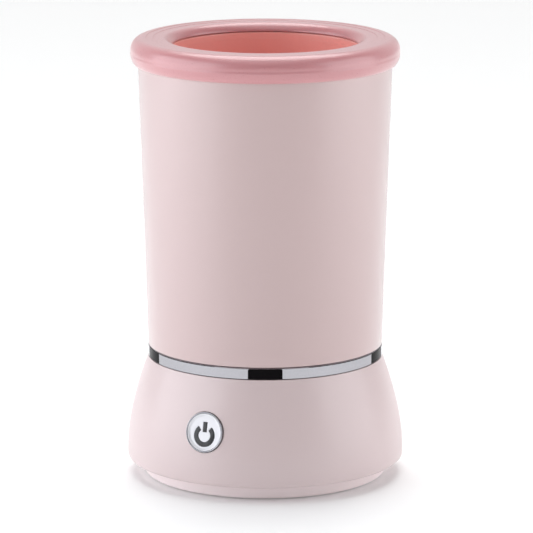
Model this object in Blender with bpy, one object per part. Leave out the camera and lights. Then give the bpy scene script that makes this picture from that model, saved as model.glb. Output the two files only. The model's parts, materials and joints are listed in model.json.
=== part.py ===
"""A salon wax warmer: a tall heated cup on a bell-shaped base, built as separate parts.

Metres, +Z up, standing on Z = 0 with its axis on Z. The power button faces -Y and the mains inlet +Y.
"""

import math

import bmesh
import bpy
from mathutils import Matrix, Vector

MM = 0.001

# Driving dimensions. Heights run from the floor upwards.
FIT = 0.3 * MM  # gap between pieces that meet
WALL = 2.5 * MM  # moulded shells
FOOT_LIFT = 0.8 * MM  # the rubber feet hold the base this far off the floor
BASE_BOTTOM = 7.3 * MM  # underside of the base shell
BELLY_HEIGHT = 12.0 * MM  # where the base is widest
WAIST_HEIGHT = 56.4 * MM  # top of the base shell
BAND_HEIGHT = 5.2 * MM  # bright trim ring
BODY_HEIGHT = 137.6 * MM  # upper shell
NECK_RADIUS = 55.07 * MM  # at the waist
BASE_FLARE = 9.93 * MM  # how far the base spreads beyond the neck
FLARE_POWER = 1.72
BODY_TAPER = 4.22 * MM  # how far the upper shell opens towards its top
TAPER_POWER = 1.1
EDGE_ROUND = 2.3 * MM
FOOT_INSET = 8.2 * MM  # the foot ring stands this far inside the base

# Rim collar and wax pot
COLLAR_SKIRT = 3.2 * MM
COLLAR_DROP = 5.3 * MM  # skirt below the top of the upper shell
COLLAR_WAIST = 1.5 * MM  # widest point above the top of the upper shell
COLLAR_WEB = 4.0 * MM  # thickness over the pot's flange
COLLAR_INNER_ROUND = 5.0 * MM
COLLAR_INNER_SHARE = 0.6  # of the web's thickness that is rounded at the mouth
FLANGE_THICK = 2.5 * MM
FLANGE_SETBACK = 0.9 * MM  # the flange stops this far inside the shell's outside
POT_WALL = 1.5 * MM
POT_DEPTH = 102.6 * MM
POT_DRAFT = 2.0 * MM
POT_CORNER = 5.0 * MM

# The layers from the upper shell inwards to the pot, at the foot of the well
AIR_GAP = 3.4 * MM
INSULATION = 3.0 * MM
HEATER_THICK = 1.2 * MM
SLEEVE_WALL = 1.2 * MM
HEATER_LENGTH = 44.0 * MM
INSULATION_LENGTH = 80.0 * MM
SLEEVE_HOLE = 4.0 * MM  # drain hole in the well's floor
STAND_WALL = 2.0 * MM
STAND_FLANGE = 5.0 * MM
STAND_WINDOW = 16.0 * MM  # width of the openings that the leads pass through
THERMOSTAT_RADIUS = 5.0 * MM
THERMOSTAT_CAP_RADIUS = 7.5 * MM
THERMOSTAT_CAP = 2.5 * MM
THERMOSTAT_HEIGHT = 7.0 * MM
THERMOSTAT_PLACE = 14.0 * MM  # from the axis, with the fuse as far on the other side
CLIP_SIZE = Vector((16.0, 6.0, 0.8)) * MM
FUSE_RADIUS = 2.0 * MM
FUSE_LENGTH = 12.0 * MM

# Waist
WINDOW_COUNT = 5
WINDOW_HALF_ANGLE = math.radians(8.3)
WINDOW_PHASE = math.radians(26.6)  # from the button to the first window
WINDOW_HEIGHT = 4.1 * MM
TRIM_THICK = 1.4 * MM
COLLAR_RING_WALL = 1.8 * MM
COLLAR_RING_OVERLAP = 4.5 * MM  # into each shell
PLATE_THICK = 2.0 * MM
CABLE_HOLE = 9.0 * MM
VENT_COUNT = 6
VENT_RADIUS = 3.0 * MM

# Base plate, feet and screws
FLOOR_THICK = 3.0 * MM
PLATE_EDGE = 0.5 * MM
PLATE_PILOT = 2.1 * MM  # depth of the bracket's screw holes
FOOT_RADIUS = 5.0 * MM
FOOT_EDGE = 0.4 * MM
FOOT_RECESS = 1.95 * MM
FOOT_RING_INSET = 10.0 * MM
FOOT_PHASE = math.radians(20.0)  # clear of the screws and of the switch bracket
BOSS_RADIUS = 4.0 * MM
BOSS_INSET = 7.0 * MM
BOSS_HEIGHT = 16.0 * MM
BOSS_CAP = 2.0 * MM  # solid top above the screw's hole
RIB_WIDTH = 2.0 * MM
SCREW_RADIUS = 1.5 * MM
SCREW_HEAD_RADIUS = 3.0 * MM
SCREW_HEAD = 1.5 * MM
SMALL_SCREW_RADIUS = 1.2 * MM
SMALL_HEAD_RADIUS = 2.4 * MM
SMALL_HEAD = 1.3 * MM

# Power button, measured along its own axis from the outside of the shell
BUTTON_HEIGHT = 32.1 * MM
BEZEL_RADIUS = 9.6 * MM
BEZEL_WIDTH = 0.9 * MM
BEZEL_PROUD = 0.3 * MM
BEZEL_EDGE = 0.3 * MM
BEZEL_FLANGE = 2.0 * MM
FLANGE_PLATE = 1.0 * MM
CAP_PROUD = 0.2 * MM
CAP_RECESS = 0.5 * MM
CAP_RIM = 1.2 * MM
BUTTON_TRAVEL = 1.2 * MM
STEM_RADIUS = 2.5 * MM
STEM_LENGTH = 3.6 * MM
SYMBOL_RADIUS = 5.3 * MM
SYMBOL_STROKE = 2.1 * MM
SYMBOL_GAP = math.radians(40.0)
SYMBOL_BAR = 5.0 * MM
SYMBOL_DROP = 1.0 * MM
SYMBOL_THICK = 0.5 * MM
SYMBOL_PROUD = 0.1 * MM
SPRING_RADIUS = 4.3 * MM
SPRING_WIRE = 0.3 * MM
SPRING_TURNS = 3
SPRING_SIDES = 8
SWITCH_SIZE = 12.0 * MM
SWITCH_DEPTH = 7.0 * MM
SWITCH_BEVEL = 0.5 * MM
SWITCH_WELL = 4.0 * MM
PLUNGER_RADIUS = 1.7 * MM
BRACKET_PLATE = 1.2 * MM
BRACKET_WIDTH = 18.0 * MM
BRACKET_FOOT = 13.0 * MM
BRACKET_MARGIN = 1.0 * MM  # how far its plate runs past the switch
BRACKET_SCREW_SETBACK = 7.8 * MM
BRACKET_SCREW_REACH = 2.0 * MM  # into the plate
STEEPEST_LEAN = math.radians(20.0)  # of the flare anywhere behind the bezel

# Circuit board and what it carries
BOARD_SIZE = Vector((50.0, 40.0, 1.6)) * MM
BOARD_BACK = 2.0 * MM  # the board's centre is this far behind the axis
BOARD_HEIGHT = 11.0 * MM
BOARD_SCREW_INSET = 4.0 * MM
BOARD_SCREW_LENGTH = 6.0 * MM
STANDOFF_RADIUS = 3.2 * MM
STANDOFF_ROOT = 1.5 * MM  # how far a standoff is sunk into the plate
TERMINAL_SIZE = Vector((10.0, 8.0, 10.0)) * MM
TERMINAL_PLACE = Vector((14.0, 9.0)) * MM
CHIP_PLACE = Vector((-2.0, -9.0)) * MM
CAPACITOR_RADIUS = 4.0 * MM
CAPACITOR_HEIGHT = 12.7 * MM
CAPACITOR_PLACE = Vector((-14.0, -10.0)) * MM

# Mains inlet
INLET_HEIGHT = 25.0 * MM
INLET_FACE = Vector((30.0, 1.8, 20.0)) * MM
INLET_BODY = Vector((24.0, 17.0, 15.0)) * MM
INLET_SOCKET_RADIUS = 4.3 * MM
INLET_PIN_SPACING = 8.6 * MM
INLET_SOCKET_DEPTH = 14.0 * MM
PIN_RADIUS = 1.2 * MM
PIN_LENGTH = 10.0 * MM
PIN_TAIL = 4.0 * MM
LEAD_RADIUS = 0.8 * MM
LEAD_SPREAD = 1.5 * MM  # half the distance between two leads side by side
HEATER_LEAD_SPREAD = 3.0 * MM

SEGMENTS = 40
SMALL_SEGMENTS = 16
BUTTON_SEGMENTS = 24
HOLE_SEGMENTS = 10
OVERCUT = 1.0 * MM  # how far a cutter runs past what it cuts

# Worked out from the dimensions above
BASE_RADIUS = NECK_RADIUS + BASE_FLARE
PLATE_RADIUS = BASE_RADIUS - FOOT_INSET
BAND_BOTTOM = WAIST_HEIGHT + FIT
BAND_TOP = BAND_BOTTOM + BAND_HEIGHT
SHELL_BOTTOM = BAND_TOP + FIT
SHELL_TOP = SHELL_BOTTOM + BODY_HEIGHT
FLANGE_BOTTOM = SHELL_TOP + FIT
FLANGE_TOP = FLANGE_BOTTOM + FLANGE_THICK
POT_FLOOR = FLANGE_TOP - POT_DEPTH
POT_BOTTOM = POT_FLOOR - POT_WALL
SLEEVE_FLOOR = POT_BOTTOM - FIT
SLEEVE_BOTTOM = SLEEVE_FLOOR - SLEEVE_WALL
CHASSIS_TOP = BAND_TOP + FIT
FLOOR_TOP = FOOT_LIFT + FLOOR_THICK
BOARD_TOP = BOARD_HEIGHT + FIT + BOARD_SIZE.z
COLLAR_RING_RADIUS = NECK_RADIUS - WALL - FIT


def clear_scene():
    for old in list(bpy.data.objects):
        bpy.data.objects.remove(old, do_unlink=True)


def material(name, color, roughness, metallic=0.0):
    """A plain Principled finish, made once and shared by name."""
    made = bpy.data.materials.get(name)
    if made is None:
        made = bpy.data.materials.new(name)
        made.use_nodes = True
        shader = made.node_tree.nodes["Principled BSDF"]
        shader.inputs["Base Color"].default_value = (*color, 1.0)
        shader.inputs["Roughness"].default_value = roughness
        shader.inputs["Metallic"].default_value = metallic
    return made


SHELL_PINK = ("shell_pink", (0.72, 0.56, 0.58), 0.35)
COLLAR_PINK = ("collar_silicone", (0.78, 0.45, 0.48), 0.5)
POT_CORAL = ("pot_coating", (0.72, 0.24, 0.19), 0.4)
CHROME = ("chrome", (0.62, 0.62, 0.65), 0.12, 1.0)
BLACK = ("black_plastic", (0.02, 0.018, 0.02), 0.3)
RUBBER = ("rubber", (0.05, 0.05, 0.05), 0.8)
STEEL = ("steel", (0.55, 0.55, 0.57), 0.35, 1.0)
ALUMINIUM = ("aluminium", (0.7, 0.7, 0.72), 0.35, 1.0)
BRASS = ("brass", (0.72, 0.53, 0.25), 0.3, 1.0)
FELT = ("insulation_felt", (0.7, 0.68, 0.62), 0.95)
PHENOLIC = ("phenolic", (0.25, 0.12, 0.06), 0.6)
BOARD_GREEN = ("board_green", (0.02, 0.2, 0.09), 0.45)
PART_BLUE = ("relay_blue", (0.04, 0.12, 0.4), 0.4)
SILVER = ("silver_paint", (0.75, 0.75, 0.8), 0.3, 0.6)
LEAD_WHITE = ("lead_sleeve", (0.8, 0.8, 0.78), 0.5)


def finish_object(name, data, finish, matrix=None):
    made = bpy.data.objects.new(name, data)
    bpy.context.scene.collection.objects.link(made)
    if finish is not None:
        data.materials.append(material(*finish))
    if matrix is not None:
        made.matrix_world = matrix
    return made


def mesh_object(name, shape, finish, matrix=None):
    """Turns a bmesh into a shaded object, its faces pointing out."""
    bmesh.ops.remove_doubles(shape, verts=shape.verts, dist=1e-7)
    bmesh.ops.recalc_face_normals(shape, faces=shape.faces)
    data = bpy.data.meshes.new(name)
    shape.to_mesh(data)
    shape.free()
    data.shade_smooth()
    data.set_sharp_from_angle(angle=math.radians(30.0))
    return finish_object(name, data, finish, matrix)


def turned(name, outline, finish, matrix=None, segments=SEGMENTS):
    """Spins a closed outline of (radius, height) points round the Z axis."""
    shape = bmesh.new()
    verts = [shape.verts.new((radius, 0.0, height)) for radius, height in outline]
    edges = []
    for first, second in zip(verts, verts[1:] + verts[:1]):
        if first.co.x > 0.0 or second.co.x > 0.0:
            edges.append(shape.edges.new((first, second)))
    bmesh.ops.spin(shape, geom=verts + edges, axis=(0, 0, 1), cent=(0, 0, 0),
                   angle=math.tau, steps=segments, use_merge=True)
    return mesh_object(name, shape, finish, matrix)


def extruded(name, outline, low, high, finish, matrix=None):
    """Raises a closed outline of (x, y) points from low to high along Z."""
    shape = bmesh.new()
    face = shape.faces.new([shape.verts.new((x, y, low)) for x, y in outline])
    raised = bmesh.ops.extrude_face_region(shape, geom=[face])
    top = [item for item in raised["geom"] if isinstance(item, bmesh.types.BMVert)]
    bmesh.ops.translate(shape, verts=top, vec=(0.0, 0.0, high - low))
    return mesh_object(name, shape, finish, matrix)


def block(name, size, centre, finish, matrix=None, bevel=0.0):
    """A box of this size, its edges bevelled if asked."""
    shape = bmesh.new()
    bmesh.ops.create_cube(shape, size=1.0, matrix=Matrix.Translation(centre) @ Matrix.Diagonal((*size, 1.0)))
    if bevel > 0.0:
        bmesh.ops.bevel(shape, geom=shape.edges[:], offset=bevel, affect="EDGES", segments=1, profile=0.5,
                        material=-1)
    return mesh_object(name, shape, finish, matrix)


def rod(name, radius, low, high, finish, matrix=None, segments=HOLE_SEGMENTS):
    """A solid round bar along Z."""
    return turned(name, [(0.0, low), (radius, low), (radius, high), (0.0, high)], finish, matrix, segments)


def arc(centre_r, centre_z, radius_r, radius_z, start, end, steps):
    """Points along part of an ellipse, its angles in degrees from +R towards +Z."""
    points = []
    for step in range(steps + 1):
        angle = math.radians(start + (end - start) * step / steps)
        points.append((centre_r + radius_r * math.cos(angle), centre_z + radius_z * math.sin(angle)))
    return points


def modify(target, tool, operation):
    """Cuts the tool from the target, or joins it on, and keeps the tool as a hidden guide."""
    tool.hide_render = True
    tool.display_type = "WIRE"
    change = target.modifiers.new(f"{operation}_{tool.name}".lower(), "BOOLEAN")
    change.operation = operation
    change.solver = "EXACT"
    change.object = tool


def lead(name, points, finish=LEAD_WHITE, radius=LEAD_RADIUS, resolution=2):
    """A round wire through the points, smoothed into one even curve."""
    curve = bpy.data.curves.new(name, "CURVE")
    curve.dimensions = "3D"
    curve.bevel_depth = radius
    curve.bevel_resolution = resolution
    curve.use_fill_caps = True
    route = smooth_route([Vector(point) for point in points], radius * 6.0)
    spline = curve.splines.new("POLY")
    spline.points.add(len(route) - 1)
    for place, point in zip(spline.points, route):
        place.co = (*point, 1.0)
    return finish_object(name, curve, finish)


def smooth_route(points, spacing):
    """Reads a Catmull-Rom curve through the points at about this spacing."""
    ends = [points[0] * 2 - points[1]] + points + [points[-1] * 2 - points[-2]]
    route = [points[0]]
    for before, start, end, after in zip(ends, ends[1:], ends[2:], ends[3:]):
        steps = max(1, round((end - start).length / spacing))
        for step in range(1, steps + 1):
            t = step / steps
            route.append(0.5 * (2 * start + (end - before) * t
                                + (2 * before - 5 * start + 4 * end - after) * t * t
                                + (3 * start - before - 3 * end + after) * t ** 3))
    return route


def ring_of(count, radius, phase=0.0):
    """Evenly spaced (x, y) places on a circle."""
    angles = [phase + math.tau * index / count for index in range(count)]
    return [(radius * math.cos(angle), radius * math.sin(angle)) for angle in angles]


def flare_radius(height):
    """Outside of the base shell above its belly."""
    share = (height - BELLY_HEIGHT) / (WAIST_HEIGHT - BELLY_HEIGHT)
    return BASE_RADIUS - BASE_FLARE * share ** FLARE_POWER


def body_radius(height):
    """Outside of the upper shell."""
    share = (height - SHELL_BOTTOM) / BODY_HEIGHT
    return NECK_RADIUS + BODY_TAPER * share ** TAPER_POWER


def pot_radius(height):
    """Outside of the wax pot's wall, which narrows towards its floor."""
    layers = WALL + AIR_GAP + INSULATION + HEATER_THICK + SLEEVE_WALL + 3 * FIT
    share = (height - POT_BOTTOM) / (FLANGE_BOTTOM - POT_BOTTOM)
    return NECK_RADIUS - layers + POT_DRAFT * share


SLEEVE_OUTSIDE = FIT + SLEEVE_WALL  # layer offsets from the pot's outside
HEATER_OUTSIDE = SLEEVE_OUTSIDE + FIT + HEATER_THICK
INSULATION_OUTSIDE = HEATER_OUTSIDE + FIT + INSULATION
MOUTH_RADIUS = pot_radius(FLANGE_BOTTOM) - POT_WALL
FLANGE_RADIUS = body_radius(SHELL_TOP) - FLANGE_SETBACK
STAND_RADIUS = pot_radius(POT_BOTTOM) - POT_CORNER
HEATER_BOTTOM = POT_FLOOR + 2 * POT_CORNER


def make_rim_collar():
    """Soft ring that hooks over the rim: web on the pot's flange, skirt outside the shell."""
    groove = body_radius(SHELL_TOP) + FIT
    outside = groove + COLLAR_SKIRT
    widest = SHELL_TOP + COLLAR_WAIST
    web_bottom = FLANGE_TOP + FIT
    web_top = web_bottom + COLLAR_WEB
    crown = web_top - widest
    inner_rise = COLLAR_WEB * COLLAR_INNER_SHARE
    lower = arc(outside - COLLAR_SKIRT, widest, COLLAR_SKIRT, COLLAR_DROP + COLLAR_WAIST, -90, 0, 4)
    upper = arc(outside - crown, widest, crown, crown, 0, 90, 5)
    inner = arc(MOUTH_RADIUS + COLLAR_INNER_ROUND - FIT, web_top - inner_rise,
                COLLAR_INNER_ROUND, inner_rise, 90, 180, 3)
    outline = [(groove, SHELL_TOP - COLLAR_DROP), (groove + FIT, SHELL_TOP - COLLAR_DROP)]
    outline += lower[1:] + upper[1:] + inner
    outline += [(MOUTH_RADIUS, web_bottom), (groove, web_bottom)]
    turned("rim_collar", outline, COLLAR_PINK)


def make_wax_pot():
    inside = pot_radius(FLANGE_BOTTOM) - POT_WALL
    foot = pot_radius(POT_BOTTOM)
    outline = [(0.0, POT_BOTTOM)]
    outline += arc(foot - POT_CORNER, POT_BOTTOM + POT_CORNER, POT_CORNER, POT_CORNER, -90, 0, 2)
    outline += [(pot_radius(FLANGE_BOTTOM), FLANGE_BOTTOM), (FLANGE_RADIUS, FLANGE_BOTTOM)]
    outline += [(FLANGE_RADIUS, FLANGE_TOP), (inside, FLANGE_TOP), (inside, FLANGE_BOTTOM)]
    outline += arc(foot - POT_CORNER, POT_FLOOR + POT_CORNER - POT_WALL, POT_CORNER - POT_WALL,
                   POT_CORNER - POT_WALL, 0, -90, 2)
    outline += [(0.0, POT_FLOOR)]
    turned("wax_pot", outline, POT_CORAL)


def make_upper_shell():
    steps = 4
    heights = [SHELL_BOTTOM + BODY_HEIGHT * step / steps for step in range(steps + 1)]
    outline = [(body_radius(height), height) for height in heights]
    outline += [(body_radius(height) - WALL, height) for height in reversed(heights)]
    turned("upper_shell", outline, SHELL_PINK)


def window_sector(name, inner, outer, low, high, half_angle, finish=None):
    """A block bent round the waist, centred on +X."""
    steps = 2
    angles = [half_angle * (2 * step / steps - 1) for step in range(steps + 1)]
    outline = [(outer * math.cos(a), outer * math.sin(a)) for a in angles]
    outline += [(inner * math.cos(a), inner * math.sin(a)) for a in reversed(angles)]
    return extruded(name, outline, low, high, finish)


def window_angles():
    return [WINDOW_PHASE - math.pi / 2 + math.tau * index / WINDOW_COUNT for index in range(WINDOW_COUNT)]


def make_waist():
    """Bright ring with notches, and the black collar behind it whose pads fill the notches."""
    trim_inner = NECK_RADIUS - TRIM_THICK
    trim = turned("trim_ring", [(trim_inner, BAND_BOTTOM), (NECK_RADIUS, BAND_BOTTOM),
                                (NECK_RADIUS, BAND_TOP), (trim_inner, BAND_TOP)], CHROME)
    body = COLLAR_RING_RADIUS
    inner = body - COLLAR_RING_WALL
    shoulder = trim_inner - FIT
    plate_top = CHASSIS_TOP
    plate_bottom = plate_top - PLATE_THICK
    collar = turned("window_collar", [
        (CABLE_HOLE, plate_bottom), (inner, plate_bottom), (inner, WAIST_HEIGHT - COLLAR_RING_OVERLAP),
        (flare_radius(WAIST_HEIGHT) - WALL - FIT, WAIST_HEIGHT - COLLAR_RING_OVERLAP),
        (flare_radius(WAIST_HEIGHT) - WALL - FIT, BAND_BOTTOM),
        (shoulder, BAND_BOTTOM), (shoulder, BAND_TOP), (body, BAND_TOP),
        (body, SHELL_BOTTOM + COLLAR_RING_OVERLAP), (inner, SHELL_BOTTOM + COLLAR_RING_OVERLAP),
        (inner, plate_top), (CABLE_HOLE, plate_top)], BLACK)
    gap_angle = FIT / NECK_RADIUS
    for index, angle in enumerate(window_angles()):
        turn = Matrix.Rotation(angle, 4, "Z")
        notch = window_sector(f"cut_notch_{index + 1}", trim_inner - OVERCUT, NECK_RADIUS + OVERCUT,
                              BAND_BOTTOM - OVERCUT, BAND_BOTTOM + WINDOW_HEIGHT, WINDOW_HALF_ANGLE)
        notch.matrix_world = turn
        modify(trim, notch, "DIFFERENCE")
        pad = window_sector(f"add_pad_{index + 1}", shoulder - COLLAR_RING_WALL / 2, NECK_RADIUS - FIT / 2,
                            BAND_BOTTOM + FIT / 2, BAND_BOTTOM + WINDOW_HEIGHT - FIT,
                            WINDOW_HALF_ANGLE - gap_angle)
        pad.matrix_world = turn
        modify(collar, pad, "UNION")
    for index, (x, y) in enumerate(stand_screw_places()):
        hole = rod(f"cut_stand_hole_{index + 1}", SMALL_SCREW_RADIUS + FIT, plate_bottom - OVERCUT,
                   plate_top + OVERCUT, None, Matrix.Translation((x, y, 0.0)))
        modify(collar, hole, "DIFFERENCE")
    vents(collar, plate_bottom, plate_top)


def vents(collar, low, high):
    """Slots in the plate that let the warm air out of the base."""
    circle = (CABLE_HOLE + STAND_RADIUS - STAND_WALL - STAND_FLANGE) / 2
    for index, (x, y) in enumerate(ring_of(VENT_COUNT, circle, math.pi / VENT_COUNT)):
        hole = rod(f"cut_vent_{index + 1}", VENT_RADIUS, low - OVERCUT, high + OVERCUT, None,
                   Matrix.Translation((x, y, 0.0)))
        modify(collar, hole, "DIFFERENCE")


def stand_screw_places():
    return ring_of(3, STAND_RADIUS - STAND_WALL - STAND_FLANGE / 2, math.pi / 6)


def base_screw_places():
    return ring_of(4, PLATE_RADIUS - BOSS_INSET, math.pi / 4)


def make_base_shell():
    steps = 6
    rise = WAIST_HEIGHT - BELLY_HEIGHT
    heights = [BELLY_HEIGHT + rise * step / steps for step in range(steps + 1)]
    opening = PLATE_RADIUS + FIT
    lip_top = BASE_BOTTOM + WALL
    outline = [(opening, BASE_BOTTOM)]
    outline += arc(BASE_RADIUS - EDGE_ROUND, BASE_BOTTOM + EDGE_ROUND, EDGE_ROUND, EDGE_ROUND, -90, 0, 3)
    outline += [(flare_radius(height), height) for height in heights]
    outline += [(flare_radius(height) - WALL, height) for height in reversed(heights)]
    outline += [(BASE_RADIUS - WALL, lip_top), (opening, lip_top)]
    shell = turned("base_shell", outline, SHELL_PINK)
    for index, (x, y) in enumerate(base_screw_places()):
        angle = math.atan2(y, x)
        place = Matrix.Translation((x, y, 0.0))
        top = FLOOR_TOP + FIT + BOSS_HEIGHT
        boss = rod(f"add_boss_{index + 1}", BOSS_RADIUS, FLOOR_TOP + FIT, top, None, place)
        modify(shell, boss, "UNION")
        reach = BASE_RADIUS - WALL / 2 - math.hypot(x, y)
        rib = block(f"add_rib_{index + 1}", (reach, RIB_WIDTH, top - lip_top),
                    (math.hypot(x, y) + reach / 2, 0.0, (top + lip_top) / 2), None,
                    Matrix.Rotation(angle, 4, "Z"))
        modify(shell, rib, "UNION")
        pilot = rod(f"cut_pilot_{index + 1}", SCREW_RADIUS + FIT, FLOOR_TOP, top - BOSS_CAP, None, place)
        modify(shell, pilot, "DIFFERENCE")
    through = 4 * WALL
    hole = rod("cut_button_hole", BEZEL_RADIUS + FIT, -through, through, None, button_frame(),
               BUTTON_SEGMENTS)
    modify(shell, hole, "DIFFERENCE")
    seat = inlet_seat()
    pocket_size = (INLET_FACE.x + 2 * FIT, through, INLET_FACE.z + 2 * FIT)
    pocket_middle = (0.0, seat + through / 2 - FIT, INLET_HEIGHT)
    pocket = block("cut_inlet_pocket", pocket_size, pocket_middle, None)
    modify(shell, pocket, "DIFFERENCE")
    passage_size = (INLET_BODY.x + 2 * FIT, 2 * through, INLET_BODY.z + 2 * FIT)
    passage = block("cut_inlet_passage", passage_size, (0.0, seat, INLET_HEIGHT), None)
    modify(shell, passage, "DIFFERENCE")


def make_base_plate():
    plate = turned("base_plate", [
        (0.0, FOOT_LIFT), (PLATE_RADIUS - PLATE_EDGE, FOOT_LIFT), (PLATE_RADIUS, FOOT_LIFT + PLATE_EDGE),
        (PLATE_RADIUS, BASE_BOTTOM + WALL), (PLATE_RADIUS - WALL, BASE_BOTTOM + WALL),
        (PLATE_RADIUS - WALL, FLOOR_TOP), (0.0, FLOOR_TOP)], SHELL_PINK)
    for index, (x, y) in enumerate(board_screw_places()):
        place = Matrix.Translation((x, y, 0.0))
        standoff = rod(f"add_standoff_{index + 1}", STANDOFF_RADIUS, FLOOR_TOP - STANDOFF_ROOT, BOARD_HEIGHT,
                       None, place)
        modify(plate, standoff, "UNION")
        pilot = rod(f"cut_standoff_pilot_{index + 1}", SMALL_SCREW_RADIUS + FIT, FLOOR_TOP - FIT,
                    BOARD_HEIGHT + OVERCUT, None, place)
        modify(plate, pilot, "DIFFERENCE")
    counterbore = FOOT_LIFT + SCREW_HEAD + 2 * FIT
    for index, (x, y) in enumerate(base_screw_places()):
        place = Matrix.Translation((x, y, 0.0))
        head = rod(f"cut_head_{index + 1}", SCREW_HEAD_RADIUS + FIT, FOOT_LIFT - OVERCUT, counterbore, None,
                   place)
        modify(plate, head, "DIFFERENCE")
        shank = rod(f"cut_shank_{index + 1}", SCREW_RADIUS + FIT, counterbore - OVERCUT,
                    FLOOR_TOP + OVERCUT, None, place)
        modify(plate, shank, "DIFFERENCE")
        turned(f"base_screw_{index + 1}", [
            (0.0, FOOT_LIFT + FIT), (SCREW_HEAD_RADIUS, FOOT_LIFT + FIT),
            (SCREW_HEAD_RADIUS, FOOT_LIFT + FIT + SCREW_HEAD), (SCREW_RADIUS, FOOT_LIFT + FIT + SCREW_HEAD),
            (SCREW_RADIUS, FLOOR_TOP + BOSS_HEIGHT / 2), (0.0, FLOOR_TOP + BOSS_HEIGHT / 2)],
            STEEL, place, HOLE_SEGMENTS)
    recess_top = FOOT_LIFT + FOOT_RECESS
    for index, (x, y) in enumerate(ring_of(4, PLATE_RADIUS - FOOT_RING_INSET, FOOT_PHASE)):
        place = Matrix.Translation((x, y, 0.0))
        recess = rod(f"cut_recess_{index + 1}", FOOT_RADIUS + FIT, FOOT_LIFT - OVERCUT, recess_top, None,
                     place, SMALL_SEGMENTS)
        modify(plate, recess, "DIFFERENCE")
        turned(f"rubber_foot_{index + 1}", [
            (0.0, 0.0), (FOOT_RADIUS - FOOT_EDGE, 0.0), (FOOT_RADIUS, FOOT_EDGE),
            (FOOT_RADIUS, recess_top - FIT), (0.0, recess_top - FIT)], RUBBER, place, SMALL_SEGMENTS)
    for index, (x, y) in enumerate(bracket_screw_places()):
        pilot = rod(f"cut_bracket_pilot_{index + 1}", SMALL_SCREW_RADIUS + FIT, FLOOR_TOP - PLATE_PILOT,
                    FLOOR_TOP + OVERCUT, None, Matrix.Translation((x, y, 0.0)))
        modify(plate, pilot, "DIFFERENCE")


def make_heating():
    """The well that the pot drops into, its heater, its wrap, and the ring that stands it on the plate."""
    top = SHELL_TOP - FIT
    foot = pot_radius(POT_BOTTOM)
    inside = arc(foot - POT_CORNER, POT_BOTTOM + POT_CORNER, POT_CORNER + FIT, POT_CORNER + FIT, -90, 0, 2)
    outside = arc(foot - POT_CORNER, POT_BOTTOM + POT_CORNER, POT_CORNER + SLEEVE_OUTSIDE,
                  POT_CORNER + SLEEVE_OUTSIDE, -90, 0, 2)
    turned("heat_sleeve", [(SLEEVE_HOLE, SLEEVE_BOTTOM)] + outside
           + [(pot_radius(top) + SLEEVE_OUTSIDE, top), (pot_radius(top) + FIT, top)]
           + inside[::-1] + [(SLEEVE_HOLE, SLEEVE_FLOOR)], ALUMINIUM)
    heater_top = HEATER_BOTTOM + HEATER_LENGTH
    layer("heater_band", HEATER_BOTTOM, heater_top, SLEEVE_OUTSIDE + FIT, HEATER_OUTSIDE, STEEL)
    layer("insulation_wrap", HEATER_BOTTOM - FIT, HEATER_BOTTOM + INSULATION_LENGTH,
          HEATER_OUTSIDE + FIT, INSULATION_OUTSIDE, FELT)
    low = CHASSIS_TOP + FIT
    high = SLEEVE_BOTTOM - FIT
    inner = STAND_RADIUS - STAND_WALL
    lug = inner - STAND_FLANGE
    stand = turned("stand_ring", [
        (lug, low), (STAND_RADIUS, low), (STAND_RADIUS, high), (lug, high),
        (lug, high - STAND_WALL), (inner, high - STAND_WALL), (inner, low + 2 * STAND_WALL),
        (lug, low + 2 * STAND_WALL)], PHENOLIC)
    middle = (low + high) / 2
    for index in range(3):
        gap = block(f"cut_stand_window_{index + 1}",
                    (STAND_RADIUS, STAND_WINDOW, (high - low) / 2), (STAND_RADIUS, 0.0, middle), None,
                    Matrix.Rotation(math.pi / 2 + math.tau * index / 3, 4, "Z"))
        modify(stand, gap, "DIFFERENCE")
    for index, (x, y) in enumerate(stand_screw_places()):
        place = Matrix.Translation((x, y, 0.0))
        pilot = rod(f"cut_lug_pilot_{index + 1}", SMALL_SCREW_RADIUS + FIT, low - OVERCUT,
                    low + 1.5 * STAND_WALL, None, place)
        modify(stand, pilot, "DIFFERENCE")
        bottom = CHASSIS_TOP - PLATE_THICK - FIT
        screw(f"stand_screw_{index + 1}", bottom, -1.0, PLATE_THICK + 1.4 * STAND_WALL, place)


def layer(name, low, high, inner, outer, finish):
    """A tapered sleeve round the pot, between two offsets from the pot's outside."""
    turned(name, [(pot_radius(low) + inner, low), (pot_radius(low) + outer, low),
                  (pot_radius(high) + outer, high), (pot_radius(high) + inner, high)], finish)


def screw(name, seat, side, length, place):
    """A small screw whose head rests at the seat. Side is 1 with the head on top, -1 with it below."""
    outline = [(0.0, seat + side * SMALL_HEAD), (SMALL_HEAD_RADIUS, seat + side * SMALL_HEAD),
               (SMALL_HEAD_RADIUS, seat), (SMALL_SCREW_RADIUS, seat),
               (SMALL_SCREW_RADIUS, seat - side * length), (0.0, seat - side * length)]
    turned(name, outline, STEEL, place, HOLE_SEGMENTS)


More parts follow.
